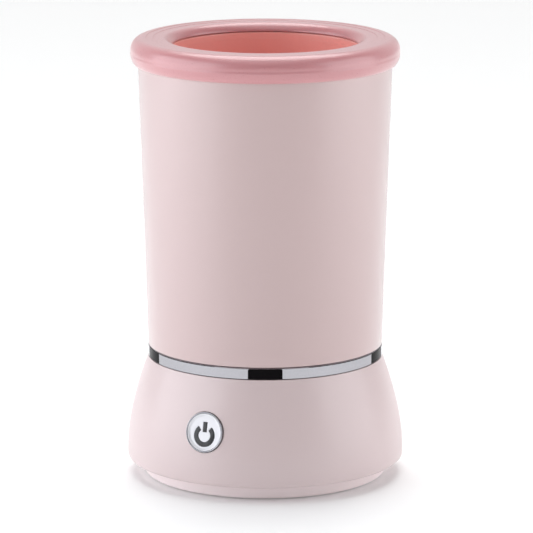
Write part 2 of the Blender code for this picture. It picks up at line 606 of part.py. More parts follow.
def make_thermostat():
    """Snap-action thermostat on the well's underside, its spring clip, and a thermal fuse beside it."""
    top = SLEEVE_BOTTOM - FIT
    bottom = top - THERMOSTAT_HEIGHT
    shoulder = top - THERMOSTAT_CAP
    turned("thermostat", [(0.0, bottom), (THERMOSTAT_RADIUS, bottom), (THERMOSTAT_RADIUS, shoulder),
                          (THERMOSTAT_CAP_RADIUS, shoulder), (THERMOSTAT_CAP_RADIUS, top), (0.0, top)],
           BLACK, Matrix.Translation((THERMOSTAT_PLACE, 0.0, 0.0)), SMALL_SEGMENTS)
    clip_middle = bottom - FIT - CLIP_SIZE.z / 2
    block("thermostat_clip", CLIP_SIZE, (THERMOSTAT_PLACE, 0.0, clip_middle), STEEL)
    beside = Matrix.Translation((-THERMOSTAT_PLACE, 0.0, top - FUSE_RADIUS - FIT))
    rod("thermal_fuse", FUSE_RADIUS, -FUSE_LENGTH / 2, FUSE_LENGTH / 2, STEEL,
        beside @ Matrix.Rotation(math.pi / 2, 4, "X"))


def board_screw_places():
    reach_x = BOARD_SIZE.x / 2 - BOARD_SCREW_INSET
    reach_y = BOARD_SIZE.y / 2 - BOARD_SCREW_INSET
    return [(x, y + BOARD_BACK) for x in (-reach_x, reach_x) for y in (-reach_y, reach_y)]


def make_board():
    low = BOARD_HEIGHT + FIT
    board = block("circuit_board", BOARD_SIZE, (0.0, BOARD_BACK, low + BOARD_SIZE.z / 2), BOARD_GREEN)
    for index, (x, y) in enumerate(board_screw_places()):
        place = Matrix.Translation((x, y, 0.0))
        hole = rod(f"cut_board_hole_{index + 1}", SMALL_SCREW_RADIUS + FIT, low - OVERCUT,
                   BOARD_TOP + OVERCUT, None, place)
        modify(board, hole, "DIFFERENCE")
        screw(f"board_screw_{index + 1}", BOARD_TOP + FIT, 1.0, BOARD_SCREW_LENGTH, place)
    on_board("transformer", Vector((20.0, 16.0, 17.0)) * MM, Vector((-4.0, 7.0)) * MM, PART_BLUE, 1.0 * MM)
    on_board("relay", Vector((15.0, 10.0, 12.0)) * MM, Vector((14.5, -5.0)) * MM, BLACK, 0.5 * MM)
    on_board("terminal_block", TERMINAL_SIZE, TERMINAL_PLACE, BOARD_GREEN, 0.5 * MM)
    on_board("control_chip", Vector((8.0, 8.0, 1.6)) * MM, CHIP_PLACE, BLACK)
    rod("capacitor", CAPACITOR_RADIUS, BOARD_TOP + FIT, BOARD_TOP + FIT + CAPACITOR_HEIGHT, ALUMINIUM,
        Matrix.Translation((*CAPACITOR_PLACE, 0.0)), SMALL_SEGMENTS)


def on_board(name, size, place, finish, bevel=0.0):
    """A block standing on the board."""
    block(name, size, (*place, BOARD_TOP + FIT + size.z / 2), finish, None, bevel)


def button_tilt():
    """How far the flare leans back where the button sits."""
    step = 0.01 * MM
    fall = flare_radius(BUTTON_HEIGHT) - flare_radius(BUTTON_HEIGHT + step)
    return math.atan2(fall, step)


def button_frame():
    """Local +Z out of the shell, local +Y up the shell, at the middle of the button."""
    place = Matrix.Translation((0.0, -flare_radius(BUTTON_HEIGHT), BUTTON_HEIGHT))
    return place @ Matrix.Rotation(math.pi / 2 - button_tilt(), 4, "X")


BEZEL_INSIDE = BEZEL_RADIUS - BEZEL_WIDTH
CAP_RADIUS = BEZEL_INSIDE - FIT
SHELL_BACK = WALL / math.cos(STEEPEST_LEAN) + (BEZEL_RADIUS + BEZEL_FLANGE) ** 2 / BASE_RADIUS
BEZEL_BACK = -(SHELL_BACK + FLANGE_PLATE)
CAP_BACK = BEZEL_BACK - FIT - FLANGE_PLATE
STEM_END = CAP_BACK - BUTTON_TRAVEL - STEM_LENGTH
BRACKET_FRONT = STEM_END - FIT
SWITCH_FRONT = BRACKET_FRONT - BRACKET_PLATE - FIT


def make_button():
    """Everything here is built along the button's axis and then placed by its frame."""
    frame = button_frame()
    axis = bpy.data.objects.new("button_axis", None)
    bpy.context.scene.collection.objects.link(axis)
    axis.matrix_world = frame
    flange = BEZEL_RADIUS + BEZEL_FLANGE
    turned("button_bezel", [
        (BEZEL_INSIDE, BEZEL_BACK), (flange, BEZEL_BACK), (flange, BEZEL_BACK + FLANGE_PLATE),
        (BEZEL_RADIUS, BEZEL_BACK + FLANGE_PLATE), (BEZEL_RADIUS, BEZEL_PROUD - BEZEL_EDGE),
        (BEZEL_RADIUS - BEZEL_EDGE, BEZEL_PROUD), (BEZEL_INSIDE, BEZEL_PROUD)], SILVER, frame,
        BUTTON_SEGMENTS)
    face = CAP_PROUD - CAP_RECESS
    cap = turned("power_button", [
        (0.0, STEM_END), (STEM_RADIUS, STEM_END), (STEM_RADIUS, CAP_BACK),
        (CAP_RADIUS + BEZEL_WIDTH, CAP_BACK), (CAP_RADIUS + BEZEL_WIDTH, CAP_BACK + FLANGE_PLATE),
        (CAP_RADIUS, CAP_BACK + FLANGE_PLATE), (CAP_RADIUS, CAP_PROUD - BEZEL_EDGE),
        (CAP_RADIUS - BEZEL_EDGE, CAP_PROUD), (CAP_RADIUS - CAP_RIM, face), (0.0, face)], SILVER, frame,
        BUTTON_SEGMENTS)
    for name, grow, low, high, finish in (
            ("cut", FIT / 2, face - SYMBOL_THICK - FIT, face + OVERCUT, None),
            ("symbol", 0.0, face - SYMBOL_THICK, face + SYMBOL_PROUD, BLACK)):
        ring = extruded(f"{name}_arc", symbol_arc(grow), low, high, finish, frame)
        bar = extruded(f"{name}_bar", symbol_bar(grow), low, high, finish, frame)
        for piece in (ring, bar):
            if finish is None:
                modify(cap, piece, "DIFFERENCE")
    coil = lead("button_spring", spring_route(), STEEL, SPRING_WIRE, 1)
    coil.matrix_world = frame
    switch = block("switch_body", (SWITCH_SIZE, SWITCH_SIZE, SWITCH_DEPTH),
                   (0.0, 0.0, SWITCH_FRONT - SWITCH_DEPTH / 2), BLACK, frame, SWITCH_BEVEL)
    well = rod("cut_plunger_well", PLUNGER_RADIUS + FIT, SWITCH_FRONT - SWITCH_WELL, SWITCH_FRONT + OVERCUT,
               None, frame)
    modify(switch, well, "DIFFERENCE")
    rod("switch_plunger", PLUNGER_RADIUS, SWITCH_FRONT - SWITCH_WELL + FIT + BUTTON_TRAVEL, STEM_END - FIT,
        BRASS, frame)
    make_bracket(frame)
    keep = {"power_button", "symbol_arc", "symbol_bar", "button_spring", "switch_plunger"}
    for piece in [item for item in bpy.data.objects if item.name in keep]:
        placed = piece.matrix_world.copy()
        piece.parent = axis
        piece.matrix_world = placed


def symbol_arc(grow):
    """The open ring of the on/off symbol, its gap at the top."""
    outer = SYMBOL_RADIUS + grow
    inner = SYMBOL_RADIUS - SYMBOL_STROKE - grow
    middle = (outer + inner) / 2
    half = math.pi - SYMBOL_GAP + grow / middle
    steps = 14
    angles = [-math.pi / 2 + half * (2 * step / steps - 1) for step in range(steps + 1)]
    points = [(outer * math.cos(a), outer * math.sin(a) - SYMBOL_DROP) for a in angles]
    points += [(inner * math.cos(a), inner * math.sin(a) - SYMBOL_DROP) for a in reversed(angles)]
    return points


def symbol_bar(grow):
    half = SYMBOL_STROKE / 2 + grow
    top = SYMBOL_RADIUS - SYMBOL_DROP + grow
    bottom = SYMBOL_RADIUS - SYMBOL_DROP - SYMBOL_BAR - grow
    return [(-half, bottom), (half, bottom), (half, top), (-half, top)]


def spring_route():
    """A compression coil between the cap's flange and the bracket, its ends closed."""
    start = BRACKET_FRONT + SPRING_WIRE + FIT
    length = CAP_BACK - SPRING_WIRE - FIT - start
    points = []
    steps = SPRING_TURNS * SPRING_SIDES
    for step in range(steps + 1):
        angle = math.tau * SPRING_TURNS * step / steps
        points.append((SPRING_RADIUS * math.cos(angle), SPRING_RADIUS * math.sin(angle),
                       start + length * step / steps))
    return points


def bracket_sides():
    """Top and knee of the leaning plate, for its front and then its back."""
    frame = button_frame()
    reach = SWITCH_SIZE / 2 + BRACKET_MARGIN
    return [(frame @ Vector((0.0, reach, depth)), frame @ Vector((0.0, -reach, depth)))
            for depth in (BRACKET_FRONT, BRACKET_FRONT - BRACKET_PLATE)]


def bracket_screw_places():
    back_knee = bracket_sides()[1][1]
    y = back_knee.y + BRACKET_SCREW_SETBACK
    return [(-BRACKET_WIDTH / 4, y), (BRACKET_WIDTH / 4, y)]


def make_bracket(frame):
    """Folded steel strip: a leaning plate that carries the switch and the spring, a leg and a foot."""
    (front_top, front_knee), (back_top, back_knee) = bracket_sides()
    low = FLOOR_TOP + FIT
    outline = [(front_knee.y, low), (back_knee.y + BRACKET_FOOT, low),
               (back_knee.y + BRACKET_FOOT, low + BRACKET_PLATE), (back_knee.y, low + BRACKET_PLATE),
               (back_knee.y, back_knee.z), (back_top.y, back_top.z), (front_top.y, front_top.z),
               (front_knee.y, front_knee.z)]
    upright = Matrix(((0, 0, 1, 0), (1, 0, 0, 0), (0, 1, 0, 0), (0, 0, 0, 1)))
    bracket = extruded("switch_bracket", outline, -BRACKET_WIDTH / 2, BRACKET_WIDTH / 2, STEEL, upright)
    hole = rod("cut_bracket_hole", STEM_RADIUS + FIT, BRACKET_FRONT - BRACKET_PLATE - OVERCUT,
               BRACKET_FRONT + OVERCUT, None, frame)
    modify(bracket, hole, "DIFFERENCE")
    for index, (x, y) in enumerate(bracket_screw_places()):
        place = Matrix.Translation((x, y, 0.0))
        clearance = rod(f"cut_bracket_screw_{index + 1}", SMALL_SCREW_RADIUS + FIT, low - OVERCUT,
                        low + BRACKET_PLATE + OVERCUT, None, place)
        modify(bracket, clearance, "DIFFERENCE")
        screw(f"bracket_screw_{index + 1}", low + BRACKET_PLATE + FIT, 1.0,
              BRACKET_PLATE + BRACKET_SCREW_REACH, place)


def inlet_seat():
    """Where the back of the inlet's face plate lies: flush with the shell at the plate's ends."""
    radius = flare_radius(INLET_HEIGHT)
    return math.sqrt(radius ** 2 - (INLET_FACE.x / 2) ** 2)


def make_inlet():
    """Two-pin appliance inlet: a face plate let into the shell, a body behind it and a socket in it."""
    seat = inlet_seat()
    front = seat + INLET_FACE.y
    middle = Vector((0.0, seat + INLET_FACE.y / 2, INLET_HEIGHT))
    inlet = block("mains_inlet", INLET_FACE, middle, BLACK)
    body_middle = Vector((0.0, seat + INLET_FACE.y / 2 - INLET_BODY.y / 2, INLET_HEIGHT))
    modify(inlet, block("add_inlet_body", INLET_BODY, body_middle, None), "UNION")
    reach = INLET_PIN_SPACING / 2
    outline = arc(reach, 0.0, INLET_SOCKET_RADIUS, INLET_SOCKET_RADIUS, -90, 90, 8)
    outline += arc(-reach, 0.0, INLET_SOCKET_RADIUS, INLET_SOCKET_RADIUS, 90, 270, 8)
    facing = Matrix.Translation((0.0, front, INLET_HEIGHT)) @ Matrix.Rotation(-math.pi / 2, 4, "X")
    modify(inlet, extruded("cut_socket", outline, -INLET_SOCKET_DEPTH, OVERCUT, None, facing), "DIFFERENCE")
    back = front - INLET_SOCKET_DEPTH
    for index, x in enumerate((-reach, reach)):
        place = facing @ Matrix.Translation((x, 0.0, 0.0))
        hole = rod(f"cut_pin_hole_{index + 1}", PIN_RADIUS + FIT, -INLET_SOCKET_DEPTH - INLET_BODY.y,
                   -INLET_SOCKET_DEPTH + OVERCUT, None, place)
        modify(inlet, hole, "DIFFERENCE")
        tail = body_middle.y - INLET_BODY.y / 2 - PIN_TAIL - front
        rod(f"inlet_pin_{index + 1}", PIN_RADIUS, tail, back + PIN_LENGTH - front, BRASS, place)


def make_leads():
    """Wires inside the housing, each along its own route."""
    top = BOARD_TOP + FIT + TERMINAL_SIZE.z + FIT
    beside = TERMINAL_SIZE.y / 4
    tail = inlet_seat() + INLET_FACE.y / 2 - INLET_BODY.y - PIN_TAIL
    reach = INLET_PIN_SPACING / 2
    for index, side in enumerate((-1.0, 1.0)):
        start = Vector((side * reach, tail - FIT, INLET_HEIGHT))
        end = Vector((TERMINAL_PLACE.x - beside + side * LEAD_SPREAD, TERMINAL_PLACE.y + beside, top))
        straight = start - Vector((0.0, 3.0 * MM, 0.0))
        over = (straight + end) / 2 + Vector((0.0, 0.0, 6.0 * MM))
        lead(f"inlet_wire_{index + 1}", [start, straight, over, end + Vector((0.0, 0.0, 3.0 * MM)), end])
    heat_radius = pot_radius(HEATER_BOTTOM) + SLEEVE_OUTSIDE + FIT + HEATER_THICK / 2
    window_middle = (CHASSIS_TOP + SLEEVE_BOTTOM) / 2
    for index, side in enumerate((-1.0, 1.0)):
        x = side * HEATER_LEAD_SPREAD
        start = Vector((TERMINAL_PLACE.x + side * LEAD_SPREAD, TERMINAL_PLACE.y - beside, top))
        lead(f"heater_lead_{index + 1}", [
            start, start + Vector((0.0, 0.0, 8.0 * MM)), (x, 3.0 * MM, CHASSIS_TOP - 8.0 * MM),
            (x, 3.0 * MM, CHASSIS_TOP + 4.0 * MM), (x, STAND_RADIUS * 0.6, window_middle),
            (x, STAND_RADIUS + 4.0 * MM, window_middle + 2.0 * MM), (x, heat_radius, window_middle + 12.0 * MM),
            (x, heat_radius, HEATER_BOTTOM - FIT)])
    clip = SLEEVE_BOTTOM - FIT - THERMOSTAT_HEIGHT - FIT - CLIP_SIZE.z - FIT - LEAD_RADIUS
    turn = (CHASSIS_TOP + clip) / 2
    foot = CHIP_PLACE + Vector((6.0, 0.0)) * MM
    lead("sensor_lead", [(*foot, BOARD_TOP + FIT), (*foot, BOARD_TOP + 12.0 * MM),
                         (0.0, -4.0 * MM, CHASSIS_TOP - 8.0 * MM), (0.0, -4.0 * MM, CHASSIS_TOP),
                         (8.0 * MM, -2.0 * MM, turn), (THERMOSTAT_PLACE, 0.0, clip)])
    frame = button_frame()
    out = frame @ Vector((0.0, 0.0, SWITCH_FRONT - SWITCH_DEPTH - FIT))
    bend = frame @ Vector((0.0, 0.0, SWITCH_FRONT - SWITCH_DEPTH - 5.0 * MM))
    lead("switch_lead", [out, bend, (-8.0 * MM, bend.y + 5.0 * MM, bend.z - 4.0 * MM),
                         (-8.0 * MM, bend.y + 8.0 * MM, BOARD_TOP + 5.0 * MM),
                         (-8.0 * MM, bend.y + 9.0 * MM, BOARD_TOP + FIT)])


def main():
    clear_scene()
    make_rim_collar()
    make_wax_pot()
    make_upper_shell()
    make_waist()
    make_base_shell()
    make_base_plate()
    make_heating()
    make_thermostat()
    make_board()
    make_button()
    make_inlet()
    make_leads()


main()
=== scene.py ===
# %% [markdown]
# # Dressing a salon wax warmer
# The warmer is a tall heated cup on a bell-shaped base. A frame already holds every part as a plain solid,
# at its real size and in its real place. This file lays the finished surfaces over those solids: smooth
# turned shells with soft edges, a bright waist band, a soft rim, and a finish for each material.
# Nothing here changes a size. The main measures are read from the frame, so every cover fits what it
# covers, and only small details, such as edges and gaps, bring a measure of their own.

# %% Load the frame
import json
import math

import bmesh
import bpy
from mathutils import Matrix, Vector


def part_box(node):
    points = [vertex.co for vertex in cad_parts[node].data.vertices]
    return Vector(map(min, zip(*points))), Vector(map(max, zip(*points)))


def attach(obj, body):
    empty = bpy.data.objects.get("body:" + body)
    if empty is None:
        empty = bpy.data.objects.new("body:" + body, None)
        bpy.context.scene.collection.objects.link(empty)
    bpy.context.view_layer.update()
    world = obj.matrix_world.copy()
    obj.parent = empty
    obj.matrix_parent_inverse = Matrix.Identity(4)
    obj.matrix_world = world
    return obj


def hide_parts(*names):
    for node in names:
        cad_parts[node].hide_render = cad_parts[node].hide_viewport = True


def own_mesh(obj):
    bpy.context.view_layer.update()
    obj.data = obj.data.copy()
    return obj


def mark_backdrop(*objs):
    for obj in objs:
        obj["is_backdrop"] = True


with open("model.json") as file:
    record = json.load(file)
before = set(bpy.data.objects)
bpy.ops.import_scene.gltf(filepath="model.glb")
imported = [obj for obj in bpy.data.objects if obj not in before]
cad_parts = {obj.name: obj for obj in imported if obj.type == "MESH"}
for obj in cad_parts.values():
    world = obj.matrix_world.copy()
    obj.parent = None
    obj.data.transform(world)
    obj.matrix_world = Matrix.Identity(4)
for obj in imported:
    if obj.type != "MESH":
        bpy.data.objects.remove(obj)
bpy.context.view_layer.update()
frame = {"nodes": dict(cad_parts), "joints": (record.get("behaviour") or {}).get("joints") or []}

MM = 0.001

# %% [markdown]
# ## Measures
# A product designer dimensions a part from its neighbours. Here the neighbours are the frame's solids.
# They could be measured with a ruler in the editor, but then a changed frame would leave the covers
# behind. Asking each solid for its heights and its radii keeps the two together.

# %% Read heights and radii from the frame
def heights(node):
    """Lowest and highest point of a solid."""
    low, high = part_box(node)
    return low.z, high.z


def radii(node, low=-1.0, high=1.0):
    """Smallest and largest distance from the axis of a solid's corners between two heights."""
    corners = [vert.co for vert in frame["nodes"][node].data.vertices]
    found = [corner.to_2d().length for corner in corners if low <= corner.z <= high]
    return min(found), max(found)


def box_middle(node):
    """Middle of a solid's box."""
    low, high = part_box(node)
    return (low + high) / 2


def box_radius(node):
    """Half of a solid's width along X, which is the radius of a round part."""
    low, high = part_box(node)
    return (high.x - low.x) / 2


HAIR = 0.01 * MM  # for asking what lies at one height
GAP = 0.3 * MM  # clearance between pieces that meet
SHELL_WALL = 2.5 * MM
BODY_LOW, BODY_TOP = heights("upper_shell")
BAND_LOW, BAND_TOP = heights("trim_ring")
BASE_TOP = heights("base_shell")[1]
NECK = radii("trim_ring")[1]
BODY_TOP_RADIUS = radii("upper_shell")[1]
BASE_RADIUS = radii("base_shell")[1]
VIEW_DEGREES = 26.6  # the warmer is looked at from this far round to its right
print(f"neck {NECK / MM:.2f}, top {BODY_TOP_RADIUS / MM:.2f}, base {BASE_RADIUS / MM:.2f} mm in radius")

# %% The two curves that give the warmer its outline
PLATE_RADIUS = radii("base_plate")[1]
BASE_LOW = min(vert.co.z for vert in frame["nodes"]["base_shell"].data.vertices
               if vert.co.to_2d().length > PLATE_RADIUS)
WIDEST = [vert.co.z for vert in frame["nodes"]["base_shell"].data.vertices
          if vert.co.to_2d().length > BASE_RADIUS - HAIR]
BELLY = max(WIDEST)  # the base leans in from here upwards
EDGE_ROUND = min(WIDEST) - BASE_LOW
FLARE_POWER = 1.72  # how late the base leans in
TAPER_POWER = 1.1  # the cup opens almost evenly


def flare_radius(height):
    """Outside of the base above its belly."""
    share = (height - BELLY) / (BASE_TOP - BELLY)
    return BASE_RADIUS - (BASE_RADIUS - NECK) * share ** FLARE_POWER


def body_radius(height):
    """Outside of the cup-shaped upper shell."""
    share = (height - BODY_LOW) / (BODY_TOP - BODY_LOW)
    return NECK + (BODY_TOP_RADIUS - NECK) * share ** TAPER_POWER


print(f"belly at {BELLY / MM:.1f} mm, lower edge rounded by {EDGE_ROUND / MM:.1f} mm")

# %% [markdown]
# ## Turning
# Almost everything here is round, as it is on the real object: shells come out of a mould that was cut on
# a lathe. A cylinder could be pushed into shape loop by loop, but drawing half of the cross-section and
# spinning it round the axis is closer to the toolmaker's way, and it keeps every edge round exact.

# %% Draw part of an ellipse
def arc(centre_r, centre_z, radius_r, radius_z, start, end, steps=8):
    """Points on an ellipse, its angles in degrees from outwards towards up."""
    turns = [math.radians(start + (end - start) * step / steps) for step in range(steps + 1)]
    return [(centre_r + radius_r * math.cos(turn), centre_z + radius_z * math.sin(turn)) for turn in turns]


def between(low, high, steps):
    """Evenly spaced values from low to high, both included."""
    return [low + (high - low) * step / steps for step in range(steps + 1)]


# %% Turn a bmesh into a shaded object
CREASE = math.radians(32.0)  # edges sharper than this stay crisp
MERGE = 0.0001 * MM


def finish_mesh(name, shape, place=None):
    """Closes the seam, points the faces out, and moves the shape to its place in its own mesh."""
    bmesh.ops.remove_doubles(shape, verts=shape.verts, dist=MERGE)
    bmesh.ops.recalc_face_normals(shape, faces=shape.faces)
    if place is not None:
        bmesh.ops.transform(shape, matrix=place, verts=shape.verts)
    data = bpy.data.meshes.new(name)
    shape.to_mesh(data)
    shape.free()
    data.shade_smooth()
    data.set_sharp_from_angle(angle=CREASE)
    made = bpy.data.objects.new(name, data)
    bpy.context.scene.collection.objects.link(made)
    return made


# %% Spin a cross-section
ROUND = 192  # sides of a large turned piece
SMALL_ROUND = 64


def turned(name, outline, steps=ROUND, place=None):
    """Spins a closed outline of (radius, height) points round the Z axis."""
    shape = bmesh.new()
    verts = [shape.verts.new((radius, 0.0, height)) for radius, height in outline]
    pairs = zip(verts, verts[1:] + verts[:1])
    edges = [shape.edges.new(pair) for pair in pairs if max(pair[0].co.x, pair[1].co.x) > 0.0]
    bmesh.ops.spin(shape, geom=verts + edges, axis=(0, 0, 1), cent=(0, 0, 0), angle=math.tau,
                   steps=steps, use_merge=True)
    return finish_mesh(name, shape, place)


def cylinder(radius, low, high):
    """Half of a cylinder's cross-section, ready to spin."""
    return [(0.0, low), (radius, low), (radius, high), (0.0, high)]


def upright(place):
    """Stands a piece over a place on the floor without changing its heights."""
    return Matrix.Translation((*place.to_2d(), 0.0))


# %% Raise a flat outline
def lift(shape, points, offset):
    """Draws a face through the points and extrudes it by offset. Gives back what it made."""
    face = shape.faces.new([shape.verts.new(point) for point in points])
    lifted = bmesh.ops.extrude_face_region(shape, geom=[face])["geom"]
    tops = [item for item in lifted if isinstance(item, bmesh.types.BMVert)]
    bmesh.ops.translate(shape, verts=tops, vec=offset)
    return lifted


def raised(name, outline, low, high, place=None, edge=0.0):
    """Raises an outline of (x, y) points along Z. The edges of its top are rounded by edge."""
    shape = bmesh.new()
    lifted = lift(shape, [(x, y, low) for x, y in outline], (0.0, 0.0, high - low))
    if edge > 0.0:
        rim = [item for item in lifted if isinstance(item, bmesh.types.BMEdge)]
        bmesh.ops.bevel(shape, geom=rim, offset=edge, affect="EDGES", segments=3, profile=0.5, material=-1)
    return finish_mesh(name, shape, place)


# %% Cut one piece with others, and soften its edges
def carve(piece, tools, operation="DIFFERENCE"):
    """Cuts tools that stand apart from each other from the piece, or joins them on, and throws them away."""
    shape = bmesh.new()
    for tool in tools:
        shape.from_mesh(tool.data)
        bpy.data.objects.remove(tool)
    together = finish_mesh("together", shape)
    change = piece.modifiers.new("carve", "BOOLEAN")
    change.operation = operation
    change.solver = "EXACT"
    change.object = together
    graph = bpy.context.evaluated_depsgraph_get()
    result = bpy.data.meshes.new_from_object(piece.evaluated_get(graph))
    piece.modifiers.clear()
    piece.data = result
    bpy.data.objects.remove(together)
    piece.data.shade_smooth()
    piece.data.set_sharp_from_angle(angle=CREASE)


def soften(piece, width, segments=2, limit=40.0):
    """Rounds every edge sharper than limit degrees, as a mould or a polish does."""
    change = piece.modifiers.new("soften", "BEVEL")
    change.width = width
    change.segments = segments
    change.limit_method = "ANGLE"
    change.angle_limit = math.radians(limit)
    change.harden_normals = False


# %% Hand a finished piece over
def dress(piece, body, slot, finish, *nodes):
    """Gives the piece its finish, lets it move with its body and hides the solids it stands for."""
    piece.data.materials.clear()
    piece.data.materials.append(finish)
    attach(piece, body)
    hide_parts(*nodes)
    low, high = (Vector(corner) / MM for corner in (piece.bound_box[0], piece.bound_box[6]))
    size = high - low
    print(f"{piece.name}: {len(piece.data.polygons)} faces, {size.x:.1f} x {size.y:.1f} x {size.z:.1f} mm")

# %% [markdown]
# ## Finishes
# A finish is one shader with a pattern. The pattern drives three things at once: the colour a little, the
# roughness a little, and the relief. That is how a real surface behaves, because a grain that stands proud
# also scatters light differently. Patterns sit in the object's own space and are sized in millimetres, so
# they stay with the surface when it moves. A grain finer than about half a millimetre would vanish at this
# distance, so those are drawn a little coarser than they are.

# %% Colour and nodes
def colour(text):
    """An sRGB hex colour as the linear values that a shader wants."""
    channels = [int(text[at:at + 2], 16) / 255 for at in (0, 2, 4)]
    linear = [c / 12.92 if c <= 0.04045 else ((c + 0.055) / 1.055) ** 2.4 for c in channels]
    return (*linear, 1.0)


def add(tree, kind, inputs=None, **settings):
    """Adds a node with its settings, and gives each named input a value or a link."""
    node = tree.nodes.new("ShaderNode" + kind)
    for name, value in settings.items():
        setattr(node, name, value)
    for name, value in (inputs or {}).items():
        if isinstance(value, bpy.types.NodeSocket):
            tree.links.new(value, node.inputs[name])
        else:
            node.inputs[name].default_value = value
    return node


# %% One builder for every finish
def finish(name, dark, light, rough, depth, pattern, **constants):
    """A Principled surface whose pattern runs between two colours and two roughnesses, depth metres deep."""
    made = bpy.data.materials.new(name)
    made.use_nodes = True
    tree = made.node_tree
    surface = tree.nodes["Principled BSDF"]
    place = add(tree, "TexCoord").outputs["Object"]
    height = pattern(tree, place)
    tint = add(tree, "MixRGB", {"Fac": height, "Color1": colour(dark), "Color2": colour(light)})
    tree.links.new(tint.outputs["Color"], surface.inputs["Base Color"])
    spread = add(tree, "MapRange", {"Value": height, "To Min": rough[0], "To Max": rough[1]})
    tree.links.new(spread.outputs["Result"], surface.inputs["Roughness"])
    relief = add(tree, "Bump", {"Height": height, "Strength": 1.0, "Distance": depth})
    tree.links.new(relief.outputs["Normal"], surface.inputs["Normal"])
    for socket, value in constants.items():
        surface.inputs[socket.replace("_", " ")].default_value = value
    return made


def grain(size, detail=3.0, stretch=(1.0, 1.0, 1.0)):
    """Noise whose lumps are about this many metres across, stretched along the axes."""
    def pattern(tree, place):
        stretched = add(tree, "Mapping", {"Vector": place, "Scale": stretch}).outputs["Vector"]
        noise = add(tree, "TexNoise", {"Vector": stretched, "Scale": 1.0 / size, "Detail": detail})
        return noise.outputs["Fac"]
    return pattern


def rings(spacing, wobble=0.6):
    """Fine turning marks: bands along Z, as a lathe tool or a spinning wheel leaves them."""
    def pattern(tree, place):
        wave = add(tree, "TexWave", {"Vector": place, "Scale": 1.0 / spacing / math.tau, "Distortion": wobble,
                                     "Detail": 2.0, "Detail Scale": 2.0}, bands_direction="Z")
        return wave.outputs["Fac"]
    return pattern


# %% [markdown]
# ### Moulded ABS in pale pink
# The shells are ABS, injection moulded and given a satin topcoat. ABS has an IOR of about 1.53. The tool is
# lightly spark eroded, so the surface has a fine, even grain that spreads each reflection into a broad soft
# glow. Under the topcoat the colour drifts very slightly, as pigment does in a thick moulding. The base has a
# thinner topcoat, and its colour is painted a little paler than the shell's: painted light, for the light its
# upward-leaning flare catches. The foot tray is bare plastic, and its colour is painted near white: painted
# light that makes up for the base's shadow over it.

# %% Moulded ABS
SHELL_PINK = finish("moulded_abs_pale_pink", "C9AFAE", "CCB3B2", (0.34, 0.42), 0.006 * MM, grain(0.5 * MM),
                    IOR=1.53, Coat_Weight=1.0, Coat_Roughness=0.25, Coat_IOR=1.5)
# Painted light: the base's colour is a paler copy of the shell's pink, for the light its flare catches.
BASE_PINK_PAINTED_LIGHT = finish("moulded_abs_pink_painted_light_base", "DAC7C7", "DDCACA", (0.34, 0.42), 0.006 * MM, grain(0.5 * MM),
                   IOR=1.53, Coat_Weight=0.3, Coat_Roughness=0.25, Coat_IOR=1.5)
# Painted light: the tray's near-white colour makes up for the shade it stands in under the base.
TRAY_PINK_PAINTED_LIGHT = finish("moulded_abs_foot_pink_painted_light", "FEEFEF", "FEF1F1", (0.42, 0.5), 0.008 * MM, grain(0.5 * MM),
                   IOR=1.53)

# %% [markdown]
# ### Silicone for the soft rim
# The rim is a moulded silicone ring, deeper pink and softer to the eye than the shell. Silicone lets light
# a few millimetres in, which takes the hardness out of its shadows. Its skin has a fine bloom, so it turns
# paler where the eye skims over it, as on the flat top.

# %% Silicone
RIM_PINK = finish("moulded_silicone_pink", "C8888C", "CC8D91", (0.24, 0.34), 0.008 * MM, grain(0.6 * MM),
                  IOR=1.5, Subsurface_Weight=0.05, Subsurface_Radius=(2.5 * MM, 1.0 * MM, 0.8 * MM),
                  Subsurface_Scale=1.0, Coat_Weight=0.8, Coat_Roughness=0.3,
                  Sheen_Weight=0.5, Sheen_Roughness=0.4, Sheen_Tint=colour("FFF0F0"))

# %% [markdown]
# ### Coral ceramic coating for the wax pot
# The pot is drawn aluminium with a sprayed sol-gel ceramic coat, which wax doesn't stick to. Sprayed coats
# dry with a faint orange-peel of about a millimetre.

# %% Ceramic coating
POT_CORAL = finish("ceramic_coat_coral", "FAAFA6", "FCB7AE", (0.30, 0.40), 0.02 * MM, grain(1.2 * MM),
                   IOR=1.5, Coat_Weight=0.3, Coat_Roughness=0.25)

# %% [markdown]
# ### Bright chrome, black acrylic and painted silver
# The waist band is plated ABS: chrome over nickel, mirror bright, with only polishing haze. The dark windows
# in it are gloss black acrylic, and the button has a slim chrome bezel. Its cap is painted and not plated:
# silver lacquer scatters light, so it looks pale from every side. Chrome mirrors whatever is round it.

# %% Bright and dark trim
CHROME = finish("plated_chrome", "A9A8AD", "B4B3B8", (0.07, 0.12), 0.0004 * MM, grain(0.8 * MM), Metallic=1.0)
WINDOW_BLACK = finish("gloss_black_acrylic", "0B090B", "100D0F", (0.08, 0.12), 0.0005 * MM, grain(1.5 * MM),
                      IOR=1.25, Specular_IOR_Level=0.1)
SILVER = finish("silver_lacquer", "EBEAEF", "EEEDF2", (0.26, 0.36), 0.002 * MM, grain(0.3 * MM, 1.0),
                Coat_Weight=1.0, Coat_Roughness=0.2)
SYMBOL_INK = finish("pad_print_ink", "0E0E12", "141418", (0.30, 0.42), 0.002 * MM, grain(0.4 * MM),
                    Coat_Weight=0.3, Coat_Roughness=0.2)

# %% [markdown]
# ### The working metals
# Inside there are plain engineering finishes. Zinc-plated steel is cool and slightly streaked by rolling.
# Spun aluminium keeps the rings of the tool that formed it. Nickel-plated brass, on the contact pins, is
# warmer than steel. Each keeps the default IOR of a metal and differs in tint and in roughness.

